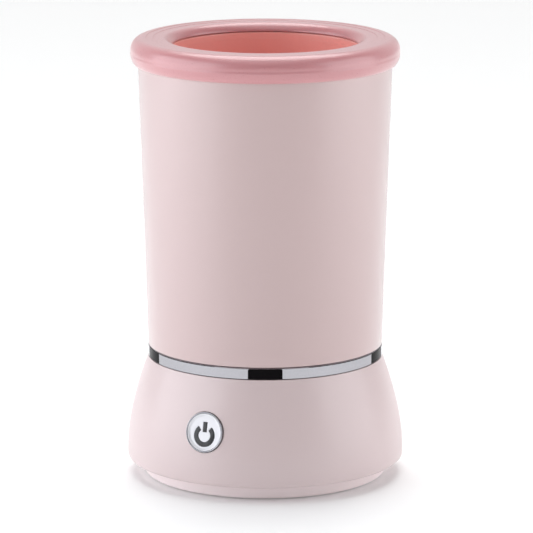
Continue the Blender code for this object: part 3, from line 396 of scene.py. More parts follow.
# %% Steel, aluminium and brass
STEEL = finish("zinc_plated_steel", "9FA2A6", "C0C3C6", (0.28, 0.42), 0.002 * MM,
               grain(0.8 * MM, 4.0, (1.0, 0.15, 1.0)), Metallic=1.0)
ALUMINIUM = finish("spun_aluminium", "B9BBBE", "D5D6D8", (0.26, 0.38), 0.004 * MM, rings(0.9 * MM),
                   Metallic=1.0)
BRASS = finish("nickel_plated_brass", "C9B68A", "DCCB9F", (0.18, 0.28), 0.001 * MM, grain(0.6 * MM),
               Metallic=1.0)

# %% [markdown]
# ### Rubber, felt and the electrical materials
# Feet are black rubber with talc left in the grain. The wrap round the heater is needled glass felt: short
# fibres, no gloss, a pale sheen at its edges. The stand ring is brown phenolic moulding, filled with paper
# flock that shows as fine streaks. The board is glass-epoxy under green solder mask, whose weave just shows.

# %% Soft and insulating materials
RUBBER = finish("talced_rubber", "141415", "242425", (0.72, 0.9), 0.03 * MM, grain(0.5 * MM, 5.0))
FELT = finish("needled_glass_felt", "CFC9BA", "EAE6DA", (0.9, 1.0), 0.35 * MM,
              grain(1.1 * MM, 8.0, (1.0, 1.0, 0.5)), Sheen_Weight=0.3)
PHENOLIC = finish("flock_filled_phenolic", "4A2C1A", "66402A", (0.4, 0.55), 0.01 * MM,
                  grain(0.9 * MM, 5.0, (1.0, 0.35, 1.0)), IOR=1.6)
GLASS_SLEEVE = finish("braided_glass_sleeving", "CFCFC8", "F2F1EA", (0.6, 0.75), 0.06 * MM,
                      rings(0.5 * MM, 3.0))


# %% Board, components and black mouldings
def weave(spacing):
    """Two sets of threads at right angles, seen through a clear coat."""
    def pattern(tree, place):
        scale = 1.0 / spacing / math.tau
        warp = add(tree, "TexWave", {"Vector": place, "Scale": scale}, bands_direction="X").outputs["Fac"]
        weft = add(tree, "TexWave", {"Vector": place, "Scale": scale}, bands_direction="Y").outputs["Fac"]
        return add(tree, "Math", {0: warp, 1: weft}, operation="MULTIPLY").outputs["Value"]
    return pattern


BOARD_GREEN = finish("solder_mask_green", "0B4A2A", "12603A", (0.22, 0.34), 0.01 * MM, weave(0.7 * MM),
                     Coat_Weight=0.4, Coat_Roughness=0.1)
BLACK_MOULDING = finish("moulded_black_pbt", "161618", "1E1E20", (0.34, 0.5), 0.012 * MM, grain(0.5 * MM),
                        IOR=1.55)
WINDING_TAPE = finish("polyester_winding_tape", "1E4E9A", "2A60B4", (0.18, 0.3), 0.01 * MM,
                      rings(1.5 * MM, 0.3), Coat_Weight=0.5, Coat_Roughness=0.1)
print(len(bpy.data.materials), "finishes, counting those the frame came with")

# %% [markdown]
# ## The upper shell
# The tall shell is a single moulding, open at both ends, that tapers outwards towards the rim. It could be
# a tapered cylinder with a Solidify modifier. Spinning inner and outer wall together instead keeps the wall
# even and gives both ends the small rounds that a moulded edge has.

# %% Upper shell
EDGE = 0.4 * MM


def make_upper_casing():
    """Outer wall from the waist up, over the top edge, and down inside."""
    levels = between(BODY_LOW + EDGE, BODY_TOP - EDGE, 24)
    outline = arc(body_radius(BODY_LOW) - EDGE, BODY_LOW + EDGE, EDGE, EDGE, -90, 0, 4)
    outline += [(body_radius(level), level) for level in levels[1:]]
    outline += arc(body_radius(BODY_TOP) - EDGE, BODY_TOP - EDGE, EDGE, EDGE, 0, 90, 4)[1:]
    outline += [(body_radius(level) - SHELL_WALL, level) for level in between(BODY_TOP, BODY_LOW, 6)]
    return turned("upper_casing", outline)


dress(make_upper_casing(), "root", "shell_plastic", SHELL_PINK, "upper_shell")

# %% [markdown]
# ## The button's axis
# The button sits square to the flared base, so it leans back with it. Everything that belongs to it is drawn
# on a flat sheet with Z pointing out of the wall, and one matrix then carries the sheet to its place. The
# press joint already knows the direction, and the bezel's corners give the middle.

# %% Where the button sits
press = next(joint for joint in frame["joints"] if joint["name"] == "button_press")
PRESS_OUT = -Vector(press["axis"]).normalized()
BEZEL_PROUD = 0.3 * MM
bezel_corners = [vert.co for vert in frame["nodes"]["button_bezel"].data.vertices]
bezel_middle = sum(bezel_corners, Vector()) / len(bezel_corners)
front = max((corner - bezel_middle).dot(PRESS_OUT) for corner in bezel_corners)
BUTTON_CENTRE = bezel_middle + PRESS_OUT * (front - BEZEL_PROUD)
BUTTON_CENTRE.x = 0.0
across = Vector((1.0, 0.0, 0.0))
facing_out = Matrix((across, PRESS_OUT.cross(across), PRESS_OUT)).transposed().to_4x4()
BUTTON_PLACE = Matrix.Translation(BUTTON_CENTRE) @ facing_out


def button_reach(node):
    """Nearest and furthest point of a solid along the button's axis, and its largest radius about it."""
    local = [BUTTON_PLACE.inverted() @ vert.co for vert in frame["nodes"][node].data.vertices]
    return min(p.z for p in local), max(p.z for p in local), max(p.to_2d().length for p in local)


BEZEL_BACK, _, BEZEL_FLANGE = button_reach("button_bezel")
print("button at", [round(value / MM, 2) for value in BUTTON_CENTRE])

# %% [markdown]
# ## The base
# The base is a bell: a small round at the bottom, a short straight belly, then a flare that leans in to the
# waist. The flare is a power curve rather than a circle, which keeps the lower half nearly straight. Holes
# for the button and for the mains inlet are cut after the spin, as a mould's side cores would form them.

# %% Base shell
BEZEL_RADIUS = 9.3 * MM
INLET_CORNER = 2.5 * MM
inlet_low, inlet_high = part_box("mains_inlet")
INLET_MIDDLE = box_middle("mains_inlet")
INLET_SIZE = inlet_high - inlet_low
BOSS_RADIUS = 4.0 * MM
RIB_WIDTH = 2.0 * MM
BOSSES = [box_middle(f"base_screw_{index}") for index in range(1, 5)]


def rounded_rectangle(width, height, corner):
    """Outline about the origin with round corners."""
    x, y = width / 2 - corner, height / 2 - corner
    outline = []
    for start, (side, rise) in zip((0, 90, 180, 270), ((1, 1), (-1, 1), (-1, -1), (1, -1))):
        outline += arc(side * x, rise * y, corner, corner, start, start + 90, 6)
    return outline


FACING_BACK = Matrix.Rotation(-math.pi / 2, 4, "X")  # a flat sheet turned to face the rear


def inlet_place(depth):
    """Puts a sheet on the inlet's axis, its Z pointing out of the back, at this Y."""
    return Matrix.Translation((0.0, depth, INLET_MIDDLE.z)) @ FACING_BACK


FACE_THICK = 1.8 * MM
INLET_SEAT = inlet_high.y - FACE_THICK
INLET_BODY = Vector((24.0, 17.0, 15.0)) * MM


def make_base_casing():
    """The bell with its inner lip, then the bosses, then the two openings."""
    lip_top = BASE_LOW + SHELL_WALL
    opening = PLATE_RADIUS + GAP
    levels = between(BELLY, BASE_TOP, 32)
    outline = [(opening, BASE_LOW + EDGE), (opening + EDGE, BASE_LOW)]
    outline += arc(BASE_RADIUS - EDGE_ROUND, BASE_LOW + EDGE_ROUND, EDGE_ROUND, EDGE_ROUND, -90, 0, 10)
    outline += [(flare_radius(level), level) for level in levels]
    outline += [(flare_radius(level) - SHELL_WALL, level) for level in reversed(levels)]
    outline += [(BASE_RADIUS - SHELL_WALL, lip_top), (opening, lip_top)]
    casing = turned("base_casing", outline)
    inside = BOSSES[0].to_2d().length
    boss_low = heights("base_shell")[0]
    boss_top = max(vert.co.z for vert in frame["nodes"]["base_shell"].data.vertices
                   if vert.co.to_2d().length < inside)
    column = cylinder(BOSS_RADIUS, boss_low, boss_top)
    posts = []
    for spot in BOSSES:
        reach = BASE_RADIUS - SHELL_WALL / 2 - spot.to_2d().length
        bearing = math.atan2(spot.y, spot.x)
        strip = [(0.0, -RIB_WIDTH / 2), (reach, -RIB_WIDTH / 2), (reach, RIB_WIDTH / 2), (0.0, RIB_WIDTH / 2)]
        place = upright(spot) @ Matrix.Rotation(bearing, 4, "Z")
        post = turned("post", column, 32, place)
        carve(post, [raised("rib", strip, lip_top - SHELL_WALL / 2, boss_top - EDGE, place)], "UNION")
        posts.append(post)
    carve(casing, posts, "UNION")
    through = 10.0 * MM
    core = cylinder(BEZEL_RADIUS + GAP, -through, through)
    button_hole = turned("button_hole", core, SMALL_ROUND, BUTTON_PLACE)
    seat = inlet_place(INLET_SEAT)
    pocket_outline = rounded_rectangle(INLET_SIZE.x + 2 * GAP, INLET_SIZE.z + 2 * GAP, INLET_CORNER + GAP)
    pocket = raised("inlet_pocket", pocket_outline, -GAP, through, seat)
    passage_outline = rounded_rectangle(INLET_BODY.x + 2 * GAP, INLET_BODY.z + 2 * GAP, GAP)
    passage = raised("inlet_passage", passage_outline, -2 * through, through, seat)
    carve(casing, [button_hole, pocket])
    carve(casing, [passage])
    return casing


dress(make_base_casing(), "root", "shell_plastic", BASE_PINK_PAINTED_LIGHT, "base_shell")

# %% [markdown]
# ## The foot tray
# Under the bell a shallow tray closes the base. It stands inside the bell's edge, so from the side it reads
# as a slim ring in the bell's shadow. Below it has four recesses for the rubber feet and four
# counterbores for the screws.

# %% Foot tray
TRAY_LOW, TRAY_TOP = heights("base_plate")
TRAY_FLOOR = TRAY_LOW + 3.0 * MM
TRAY_EDGE = 0.7 * MM
HEAD_DEPTH = 2.1 * MM
SHANK_RADIUS = 1.8 * MM
FEET = [box_middle(f"rubber_foot_{index}") for index in range(1, 5)]


def holes(name, places, radius, low, high, sides=48):
    """Round cutters at these places."""
    section = cylinder(radius, low, high)
    return [turned(f"{name}_{at}", section, sides, upright(place)) for at, place in enumerate(places)]


def make_foot_tray():
    """A dish with a raised wall, cut from below."""
    outline = [(0.0, TRAY_LOW)]
    outline += arc(PLATE_RADIUS - TRAY_EDGE, TRAY_LOW + TRAY_EDGE, TRAY_EDGE, TRAY_EDGE, -90, 0, 6)
    outline += [(PLATE_RADIUS, TRAY_TOP), (PLATE_RADIUS - SHELL_WALL, TRAY_TOP),
                (PLATE_RADIUS - SHELL_WALL, TRAY_FLOOR), (0.0, TRAY_FLOOR)]
    tray = turned("foot_tray", outline)
    recess_top = heights("rubber_foot_1")[1] + GAP
    below = TRAY_LOW - MM
    tools = holes("recess", FEET, box_radius("rubber_foot_1") + GAP, below, recess_top)
    tools += holes("head", BOSSES, box_radius("base_screw_1") + GAP, below, TRAY_LOW + HEAD_DEPTH)
    carve(tray, tools)
    carve(tray, holes("shank", BOSSES, SHANK_RADIUS, below, TRAY_FLOOR + MM, 32))
    return tray


dress(make_foot_tray(), "root", "shell_plastic", TRAY_PINK_PAINTED_LIGHT, "base_plate")

# %% Rubber feet
def make_foot(index, place):
    """A moulded pad with a shallow sucker ring in its face."""
    low, top = heights(f"rubber_foot_{index}")
    radius = box_radius(f"rubber_foot_{index}")
    edge = 0.4 * MM
    groove = 0.15 * MM
    outline = [(0.0, low + groove), (radius * 0.5, low + groove), (radius * 0.55, low), (radius - edge, low)]
    outline += arc(radius - edge, low + edge, edge, edge, -90, 0, 4)[1:]
    outline += [(radius, top - edge), (radius - edge, top), (0.0, top)]
    return turned(f"foot_pad_{index}", outline, 48, upright(place))


for index, place in enumerate(FEET, start=1):
    dress(make_foot(index, place), "root", "rubber", RUBBER, f"rubber_foot_{index}")

# %% Screws that hold the tray
def make_tray_screw(index, place):
    """A pan-head screw with a cross recess, driven from below."""
    low, top = heights(f"base_screw_{index}")
    head = box_radius(f"base_screw_{index}")
    head_height, shank = 1.5 * MM, 1.5 * MM
    outline = [(0.0, low)]
    outline += arc(head * 0.55, low + head_height * 0.5, head * 0.45, head_height * 0.5, -90, 0, 6)
    outline += [(head, low + head_height), (shank, low + head_height)]
    turns, pitch = 9, 1.1 * MM
    for turn in range(turns):
        root = low + head_height + 0.6 * MM + turn * pitch
        outline += [(shank, root), (shank * 0.8, root + pitch * 0.5)]
    outline += [(shank * 0.8, top - MM), (0.0, top)]
    screw = turned(f"tray_screw_{index}", outline, 40, upright(place))
    slot, reach, deep = 0.35 * MM, 1.5 * MM, 0.8 * MM
    cross = [(slot, slot), (reach, slot), (reach, -slot), (slot, -slot), (slot, -reach), (-slot, -reach),
             (-slot, -slot), (-reach, -slot), (-reach, slot), (-slot, slot), (-slot, reach), (slot, reach)]
    carve(screw, [raised("cross", cross, low - MM, low + deep, upright(place))])
    return screw


for index, place in enumerate(BOSSES, start=1):
    dress(make_tray_screw(index, place), "root", "steel", STEEL, f"base_screw_{index}")

# %% [markdown]
# ## The waist
# A bright ring covers the joint between the two shells. Five notches in it show gloss black pads, which
# belong to a black carrier ring behind. The top edge of the bright ring is chamfered, because plating
# builds up on a sharp edge. The pads could be cut from a ring, but a flat panel that is then bent round the
# waist gets neat rounded corners more easily.

# %% A panel bent round the waist
WINDOW_COUNT = 5
WINDOW_HALF_WIDTH = math.radians(8.3)
FIRST_WINDOW = math.radians(VIEW_DEGREES - 90.0)
WINDOW_BEARINGS = [FIRST_WINDOW + math.tau * index / WINDOW_COUNT for index in range(WINDOW_COUNT)]
WINDOW_HEIGHT = BAND_TOP - BAND_LOW - GAP
WINDOW_CORNER = 0.8 * MM


def bent_panel(name, grow, back, front, bearing):
    """A window's outline, larger all round by grow, between two radii and centred on a bearing."""
    half = WINDOW_HALF_WIDTH * NECK + grow
    low = BAND_LOW - (MM if grow > 0.0 else grow)
    top = BAND_LOW + WINDOW_HEIGHT + grow
    corner = WINDOW_CORNER + grow
    outline = [(-half, low), (half, low)]
    outline += arc(half - corner, top - corner, corner, corner, 0, 90, 6)
    outline += arc(corner - half, top - corner, corner, corner, 90, 180, 6)
    shape = bmesh.new()
    lift(shape, [(x, back, z) for x, z in outline], (0.0, front - back, 0.0))
    for x in between(-half, half, 16)[1:-1]:
        everything = shape.verts[:] + shape.edges[:] + shape.faces[:]
        bmesh.ops.bisect_plane(shape, geom=everything, plane_co=(x, 0.0, 0.0), plane_no=(1.0, 0.0, 0.0))
    for vert in shape.verts:
        turn = bearing + vert.co.x / NECK
        vert.co = (vert.co.y * math.cos(turn), vert.co.y * math.sin(turn), vert.co.z)
    return finish_mesh(name, shape)


# %% Waist band
BAND_WALL = 1.4 * MM
CHAMFER = 0.55 * MM


def make_waist_band():
    """A flat-sided ring with a broad chamfer along its top and five notches from below."""
    inner = NECK - BAND_WALL
    outline = [(inner, BAND_LOW), (NECK - GAP / 2, BAND_LOW), (NECK, BAND_LOW + GAP / 2)]
    outline += [(NECK, BAND_TOP - CHAMFER), (NECK - CHAMFER, BAND_TOP), (inner, BAND_TOP)]
    band = turned("waist_band", outline, 256)
    carve(band, [bent_panel("notch", 0.0, inner - MM, NECK + MM, bearing) for bearing in WINDOW_BEARINGS])
    soften(band, 0.06 * MM)
    return band


dress(make_waist_band(), "root", "chrome", CHROME, "trim_ring")

# %% Carrier ring with its black windows
CARRIER_LOW, CARRIER_TOP = heights("window_collar")
CARRIER_OUTER = NECK - SHELL_WALL - GAP
CARRIER_WALL = 1.8 * MM
DECK_TOP = BAND_TOP + GAP
DECK = 2.0 * MM
VENT_COUNT = 6
VENT_RADIUS = 3.0 * MM
SCREW_HOLE = 1.5 * MM


def make_carrier():
    """The ring that joins the shells, the deck across it, and the pads that fill the notches."""
    inner = CARRIER_OUTER - CARRIER_WALL
    base_side = radii("window_collar", CARRIER_LOW - HAIR, CARRIER_LOW + HAIR)[1]
    shoulder = NECK - BAND_WALL - GAP
    cable_hole = radii("window_collar")[0]
    outline = [(cable_hole, DECK_TOP - DECK), (inner, DECK_TOP - DECK), (inner, CARRIER_LOW)]
    outline += [(base_side, CARRIER_LOW), (base_side, BAND_LOW), (shoulder, BAND_LOW), (shoulder, BAND_TOP)]
    outline += [(CARRIER_OUTER, BAND_TOP), (CARRIER_OUTER, CARRIER_TOP), (inner, CARRIER_TOP)]
    outline += [(inner, DECK_TOP), (cable_hole, DECK_TOP)]
    carrier = turned("window_carrier", outline)
    vent_circle = (cable_hole + radii("stand_ring")[0]) / 2
    turns = [math.tau * (index + 0.5) / VENT_COUNT for index in range(VENT_COUNT)]
    vents = [Vector((vent_circle * math.cos(turn), vent_circle * math.sin(turn), 0.0)) for turn in turns]
    carve(carrier, holes("vent", vents, VENT_RADIUS, DECK_TOP - 2 * DECK, DECK_TOP + DECK))
    screws = [box_middle(f"stand_screw_{index}") for index in (1, 2, 3)]
    carve(carrier, holes("screw_hole", screws, SCREW_HOLE, DECK_TOP - 2 * DECK, DECK_TOP + DECK, 24))
    back, front = shoulder - MM, NECK - GAP / 2
    pads = [bent_panel("pad", -GAP / 2, back, front, bearing) for bearing in WINDOW_BEARINGS]
    carve(carrier, pads, "UNION")
    print(f"vents on a circle {vent_circle / MM:.1f} mm in radius")
    return carrier


carrier = make_carrier()
soften(carrier, 0.1 * MM, 2, 50.0)
dress(carrier, "root", "black_plastic", WINDOW_BLACK, "window_collar")

# %% [markdown]
# ## The soft rim
# The rim is one silicone moulding that hooks over the top edge: a fat outer roll, a web that lies on the
# pot's flange, and a lip that rolls down towards the mouth and ends in a thin edge. Its section is a chain
# of elliptical arcs. The small things make it believable: two shallow steps on its flat top, and a fine
# parting line round its side where the halves of the mould met.

# %% Rim section
RIM_LOW, RIM_TOP = heights("rim_collar")
RIM_OUTER = radii("rim_collar")[1]
MOUTH = radii("rim_collar")[0]
FLANGE_TOP = heights("wax_pot")[1]
WEB_LOW = FLANGE_TOP + GAP
WAIST_OF_RIM = 1.5 * MM  # the rim is widest this far above the shell
ROLL = 3.0 * MM
STEP = 0.14 * MM
STEP_PLACES = (1.6 * MM, 5.0 * MM)  # how far in from the crown's end the steps lie
PARTING = 0.18 * MM
LIP_ROUND = 5.0 * MM
LIP_EDGE = 0.4 * MM  # thickness left at the mouth


def rim_section():
    """Outside from the skirt's foot up and over the crown, then the mouth, then back under the web."""
    groove = BODY_TOP_RADIUS + GAP
    widest = BODY_TOP + WAIST_OF_RIM
    crown = RIM_TOP - widest
    outline = [(groove, RIM_LOW + GAP), (groove + GAP, RIM_LOW)]
    outline += arc(RIM_OUTER - ROLL, widest, ROLL, widest - RIM_LOW, -84, -14, 12)
    outline += arc(RIM_OUTER - ROLL - PARTING, widest, ROLL, widest - RIM_LOW, -10, 0, 3)
    outline += arc(RIM_OUTER - crown - PARTING, widest, crown, crown, 0, 90, 16)[1:]
    for inset in STEP_PLACES:
        radius = RIM_OUTER - crown - inset
        outline += [(radius, outline[-1][1]), (radius - STEP, outline[-1][1] - STEP)]
    top = outline[-1][1]
    drop = 2.0 * (top - WEB_LOW - LIP_EDGE)  # the arc ends halfway down it
    lip = arc(0.0, 0.0, LIP_ROUND, drop, 90, 150, 12)
    outline += [(MOUTH + GAP + radius - lip[-1][0], top - drop + height) for radius, height in lip]
    outline += [(MOUTH + GAP, WEB_LOW), (groove, WEB_LOW)]
    return outline


dress(turned("soft_rim", rim_section(), 256), "collar", "collar_silicone", RIM_PINK, "rim_collar")

# %% [markdown]
# ## The wax pot
# The pot is a deep-drawn cup with a flat flange that hangs on the shell's top edge. Drawing leaves a round
# at the floor and thins nothing, so inner and outer wall run parallel. The mouth has a short upright land
# below the rim, and under it a fine step where the taper starts.

# %% Wax pot
FLANGE_LOW = BODY_TOP + GAP
FLANGE_RADIUS = radii("wax_pot")[1]
POT_WALL = 1.5 * MM
POT_CORNER = 5.0 * MM
MOUTH_LAND = 0.6 * MM
MOUTH_STEP = 0.3 * MM
POT_LOW = heights("wax_pot")[0]
POT_MOUTH = radii("wax_pot", FLANGE_LOW - HAIR, FLANGE_LOW + HAIR)[0]
POT_FOOT = radii("heat_sleeve", POT_LOW + POT_CORNER - HAIR, POT_LOW + POT_CORNER + HAIR)[0] - GAP


def make_pot():
    """Floor, wall and flange on the outside, then the mouth, wall and floor inside."""
    floor = POT_LOW + POT_WALL
    wall_top = POT_MOUTH + POT_WALL
    edge = 0.7 * MM
    land = FLANGE_LOW - MOUTH_LAND
    outline = [(0.0, POT_LOW)]
    outline += arc(POT_FOOT - POT_CORNER, POT_LOW + POT_CORNER, POT_CORNER, POT_CORNER, -90, 0, 12)
    outline += [(wall_top, FLANGE_LOW - edge), (wall_top + edge, FLANGE_LOW)]
    outline += arc(FLANGE_RADIUS - edge, FLANGE_LOW + edge, edge, edge, -90, 0, 4)
    outline += arc(FLANGE_RADIUS - edge, FLANGE_TOP - edge, edge, edge, 0, 90, 4)
    outline += arc(POT_MOUTH + edge, FLANGE_TOP - edge, edge, edge, 90, 180, 4)
    outline += [(POT_MOUTH, land), (POT_MOUTH - MOUTH_STEP, land)]
    corner = POT_CORNER - POT_WALL
    outline += arc(POT_FOOT - POT_CORNER, floor + corner, corner, corner, 0, -90, 12)
    outline += [(0.0, floor)]
    return turned("wax_pot_bowl", outline, 256)


dress(make_pot(), "pot", "pot_coating", POT_CORAL, "wax_pot")

# %% [markdown]
# ## The heated well
# Lifting the pot out shows the well: a spun aluminium cup with a rolled lip, which spreads the heater's
# warmth. It is turned like the shells. The heater band and the felt wrap round its outside never show, so
# they keep the frame's shapes and only get their finishes, further down.

# %% Well
def make_well():
    """The cup that the pot drops into, with a drain hole in its floor."""
    low, top = heights("heat_sleeve")
    wall = 1.2 * MM
    hole = radii("heat_sleeve")[0]
    corner = POT_CORNER + GAP
    inner_top, outer_top = radii("heat_sleeve", top - HAIR, top + HAIR)
    middle = POT_FOOT - POT_CORNER
    outline = [(hole, low)]
    outline += arc(middle, POT_LOW + POT_CORNER, corner + wall, corner + wall, -90, 0, 12)
    outline += arc(outer_top - wall / 2, top - wall / 2, wall / 2, wall / 2, 0, 180, 8)
    outline += arc(middle, POT_LOW + POT_CORNER, corner, corner, 0, -90, 12)
    outline += [(hole, low + wall)]
    print(f"well mouth {inner_top / MM:.1f} mm in radius")
    return turned("heated_well", outline)


dress(make_well(), "root", "aluminium", ALUMINIUM, "heat_sleeve")

# %% [markdown]
# ## The power button
# Three things show: a slim bezel let into the wall, a cap that moves inside it, and an on/off symbol filled
# into the cap. The cap's face is sunk a little below its edge, so a sloped ring runs round it and catches
# the light. All are turned or raised on a flat sheet and carried to the wall by one matrix.

# %% Bezel and cap
BEZEL_WIDTH = 0.5 * MM
FLANGE = 1.0 * MM
CAP_RADIUS = BEZEL_RADIUS - BEZEL_WIDTH - GAP / 2
CAP_PROUD = 0.2 * MM
CAP_DISH = 0.5 * MM
CAP_BEVEL = 1.2 * MM
CAP_BACK, _, CAP_FLANGE = button_reach("power_button")


def make_bezel():
    """A thin ring with a rounded front edge and a flange behind the wall."""
    inside = BEZEL_RADIUS - BEZEL_WIDTH
    half = BEZEL_WIDTH / 2
    outline = [(inside, BEZEL_BACK), (BEZEL_FLANGE, BEZEL_BACK), (BEZEL_FLANGE, BEZEL_BACK + FLANGE),
               (BEZEL_RADIUS, BEZEL_BACK + FLANGE)]
    outline += arc(inside + half, BEZEL_PROUD - half, half, half, 0, 180, 8)
    return turned("button_ring", outline, 96, BUTTON_PLACE)


STEM = 2.5 * MM
STEM_LENGTH = 4.8 * MM
CAP_SEAT = CAP_BACK + STEM_LENGTH


def make_cap():
    """Stem, retaining flange, side, bevel and dished face."""
    face = CAP_PROUD - CAP_DISH
    edge = 0.25 * MM
    outline = [(0.0, CAP_BACK), (STEM, CAP_BACK), (STEM, CAP_SEAT), (CAP_FLANGE, CAP_SEAT),
               (CAP_FLANGE, CAP_SEAT + FLANGE), (CAP_RADIUS, CAP_SEAT + FLANGE)]
    outline += arc(CAP_RADIUS - edge, CAP_PROUD - edge, edge, edge, 0, 90, 4)
    outline += arc(CAP_RADIUS - CAP_BEVEL - edge, face + CAP_DISH / 2, edge * 2, CAP_DISH / 2, -20, -90, 5)
    outline += [(0.0, face)]
    return turned("button_cap", outline, 96, BUTTON_PLACE)


# %% On/off symbol
SYMBOL_RADIUS = 5.2 * MM
STROKE = 2.1 * MM
SYMBOL_GAP = 40.0  # degrees left open each side of the top
SYMBOL_DROP = 1.5 * MM
BAR_WIDTH = 1.9 * MM
BAR_TOP = 4.7 * MM
BAR_LENGTH = 4.6 * MM


def symbol_ring(grow):
    """An open ring with its gap at the top, larger all round by grow."""
    outer = SYMBOL_RADIUS + grow
    inner = SYMBOL_RADIUS - STROKE - grow
    open_by = SYMBOL_GAP - math.degrees(grow / (SYMBOL_RADIUS - STROKE / 2))
    start, end = 90 + open_by, 450 - open_by
    outline = arc(0.0, -SYMBOL_DROP, outer, outer, start, end, 48)
    outline += arc(0.0, -SYMBOL_DROP, inner, inner, end, start, 48)
    return outline


def symbol_bar(grow):
    """A short upright with square ends."""
    half = BAR_WIDTH / 2 + grow
    top = BAR_TOP + grow
    bottom = top - BAR_LENGTH - 2 * grow
    return [(-half, bottom), (half, bottom), (half, top), (-half, top)]


dress(make_bezel(), "root", "button_silver", CHROME, "button_bezel")
button_cap = make_cap()
FACE = CAP_PROUD - CAP_DISH
SUNK = 0.5 * MM
INK_PROUD = 0.08 * MM
INK_EDGE = 0.06 * MM
for outline in (symbol_ring(GAP / 2), symbol_bar(GAP / 2)):
    carve(button_cap, [raised("groove", outline, FACE - SUNK - GAP, FACE + MM, BUTTON_PLACE)])
dress(button_cap, "button", "button_silver", SILVER, "power_button")
for name, outline in (("arc", symbol_ring(0.0)), ("bar", symbol_bar(0.0))):
    filled = raised(f"symbol_{name}_fill", outline, FACE - SUNK, FACE + INK_PROUD, BUTTON_PLACE, INK_EDGE)
    dress(filled, "button", "symbol_black", SYMBOL_INK, f"symbol_{name}")

# %% [markdown]
# ## Behind the button
# A coil spring returns the cap, and a plunger carries the press to a sealed switch. The spring is the one
# piece that changes its length. Here it is drawn at rest.

# %% Return spring
SPRING_RADIUS = 4.3 * MM
WIRE = 0.3 * MM
SPRING_TURNS = 3
STEPS_A_TURN = 32
SPRING_LOW, SPRING_HIGH, _ = button_reach("button_spring")


def make_spring():
    """A round wire spun along a helix, open at both ends."""
    shape = bmesh.new()
    start = Matrix.Translation((SPRING_RADIUS, 0.0, SPRING_LOW + WIRE)) @ Matrix.Rotation(math.pi / 2, 4, "X")
    made = bmesh.ops.create_circle(shape, cap_ends=True, segments=12, radius=WIRE, matrix=start)
    rise = (SPRING_HIGH - SPRING_LOW - 2 * WIRE) / SPRING_TURNS
    steps = STEPS_A_TURN * SPRING_TURNS
    bmesh.ops.spin(shape, geom=shape.faces[:], axis=(0, 0, 1), cent=(0, 0, 0), angle=math.tau * SPRING_TURNS,
                   steps=steps, dvec=(0.0, 0.0, rise * SPRING_TURNS / steps))
    print(f"spring wire has {len(made['verts'])} sides and climbs {rise / MM:.2f} mm a turn")
    return finish_mesh("return_spring", shape, BUTTON_PLACE)


return_spring = make_spring()
dress(return_spring, "root", "steel", STEEL, "button_spring")
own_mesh(return_spring)

# %% [markdown]
# ## The mains inlet
# At the back is a two-pin appliance inlet. Its face is a flat plate with round corners, let into the curved
# wall so that its ends lie flush. The socket is two overlapping circles joined by straight sides, deep
# enough to hide the live pins from a finger, with a step at its mouth that leads the plug in.

# %% Inlet housing
PIN_SPACING = 8.6 * MM
SOCKET_RADIUS = 4.3 * MM
SOCKET_DEPTH = 14.0 * MM
PIN_HOLE = 1.35 * MM


def socket_outline(grow):
    """Two half circles joined by straight sides."""
    reach, radius = PIN_SPACING / 2, SOCKET_RADIUS + grow
    return arc(reach, 0.0, radius, radius, -90, 90, 20) + arc(-reach, 0.0, radius, radius, 90, 270, 20)


def make_inlet():
    """Face plate and the body behind it, then the socket with its wider mouth, then the pin holes."""
    seat, front = inlet_place(INLET_SEAT), inlet_place(inlet_high.y)
    plate_outline = rounded_rectangle(INLET_SIZE.x, INLET_SIZE.z, INLET_CORNER)
    plate = raised("inlet_housing", plate_outline, 0.0, FACE_THICK, seat, 0.4 * MM)
    inside_plate = FACE_THICK / 2
    body_outline = rounded_rectangle(INLET_BODY.x, INLET_BODY.z, MM)
    body = raised("inlet_body", body_outline, inside_plate - INLET_BODY.y, inside_plate, seat)
    carve(plate, [body], "UNION")
    carve(plate, [raised("socket_mouth", socket_outline(0.5 * MM), -0.5 * MM, MM, front)])
    carve(plate, [raised("socket", socket_outline(0.0), -SOCKET_DEPTH, MM, front)])
    section = cylinder(PIN_HOLE, -2 * SOCKET_DEPTH, 0.0)
    sides = [front @ Matrix.Translation((side * PIN_SPACING / 2, 0.0, 0.0)) for side in (-1, 1)]
    carve(plate, [turned("pin_hole", section, 24, side) for side in sides])
    return plate


dress(make_inlet(), "root", "black_plastic", BLACK_MOULDING, "mains_inlet")

# %% Contact pins
def make_pin(index):
    """A round pin with a domed tip facing the rear and a thinner solder tail."""
    low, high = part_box(f"inlet_pin_{index}")
    radius = (high.x - low.x) / 2
    length = high.y - low.y
    outline = [(0.0, 0.0), (radius * 0.7, 0.0), (radius * 0.7, 3.0 * MM), (radius, 3.2 * MM)]
    outline += arc(0.0, length - radius, radius, radius, 0, 90, 8)
    middle = box_middle(f"inlet_pin_{index}")
    place = Matrix.Translation((middle.x, low.y, middle.z)) @ FACING_BACK
    return turned(f"contact_pin_{index}", outline, 32, place)


for index in (1, 2):
    dress(make_pin(index), "root", "brass", BRASS, f"inlet_pin_{index}")

# %% [markdown]
# ## What stays as it is
# The parts inside never show, and the frame already has their true shapes. They keep those shapes and only
# change their finish, so that an opened warmer looks right as well.

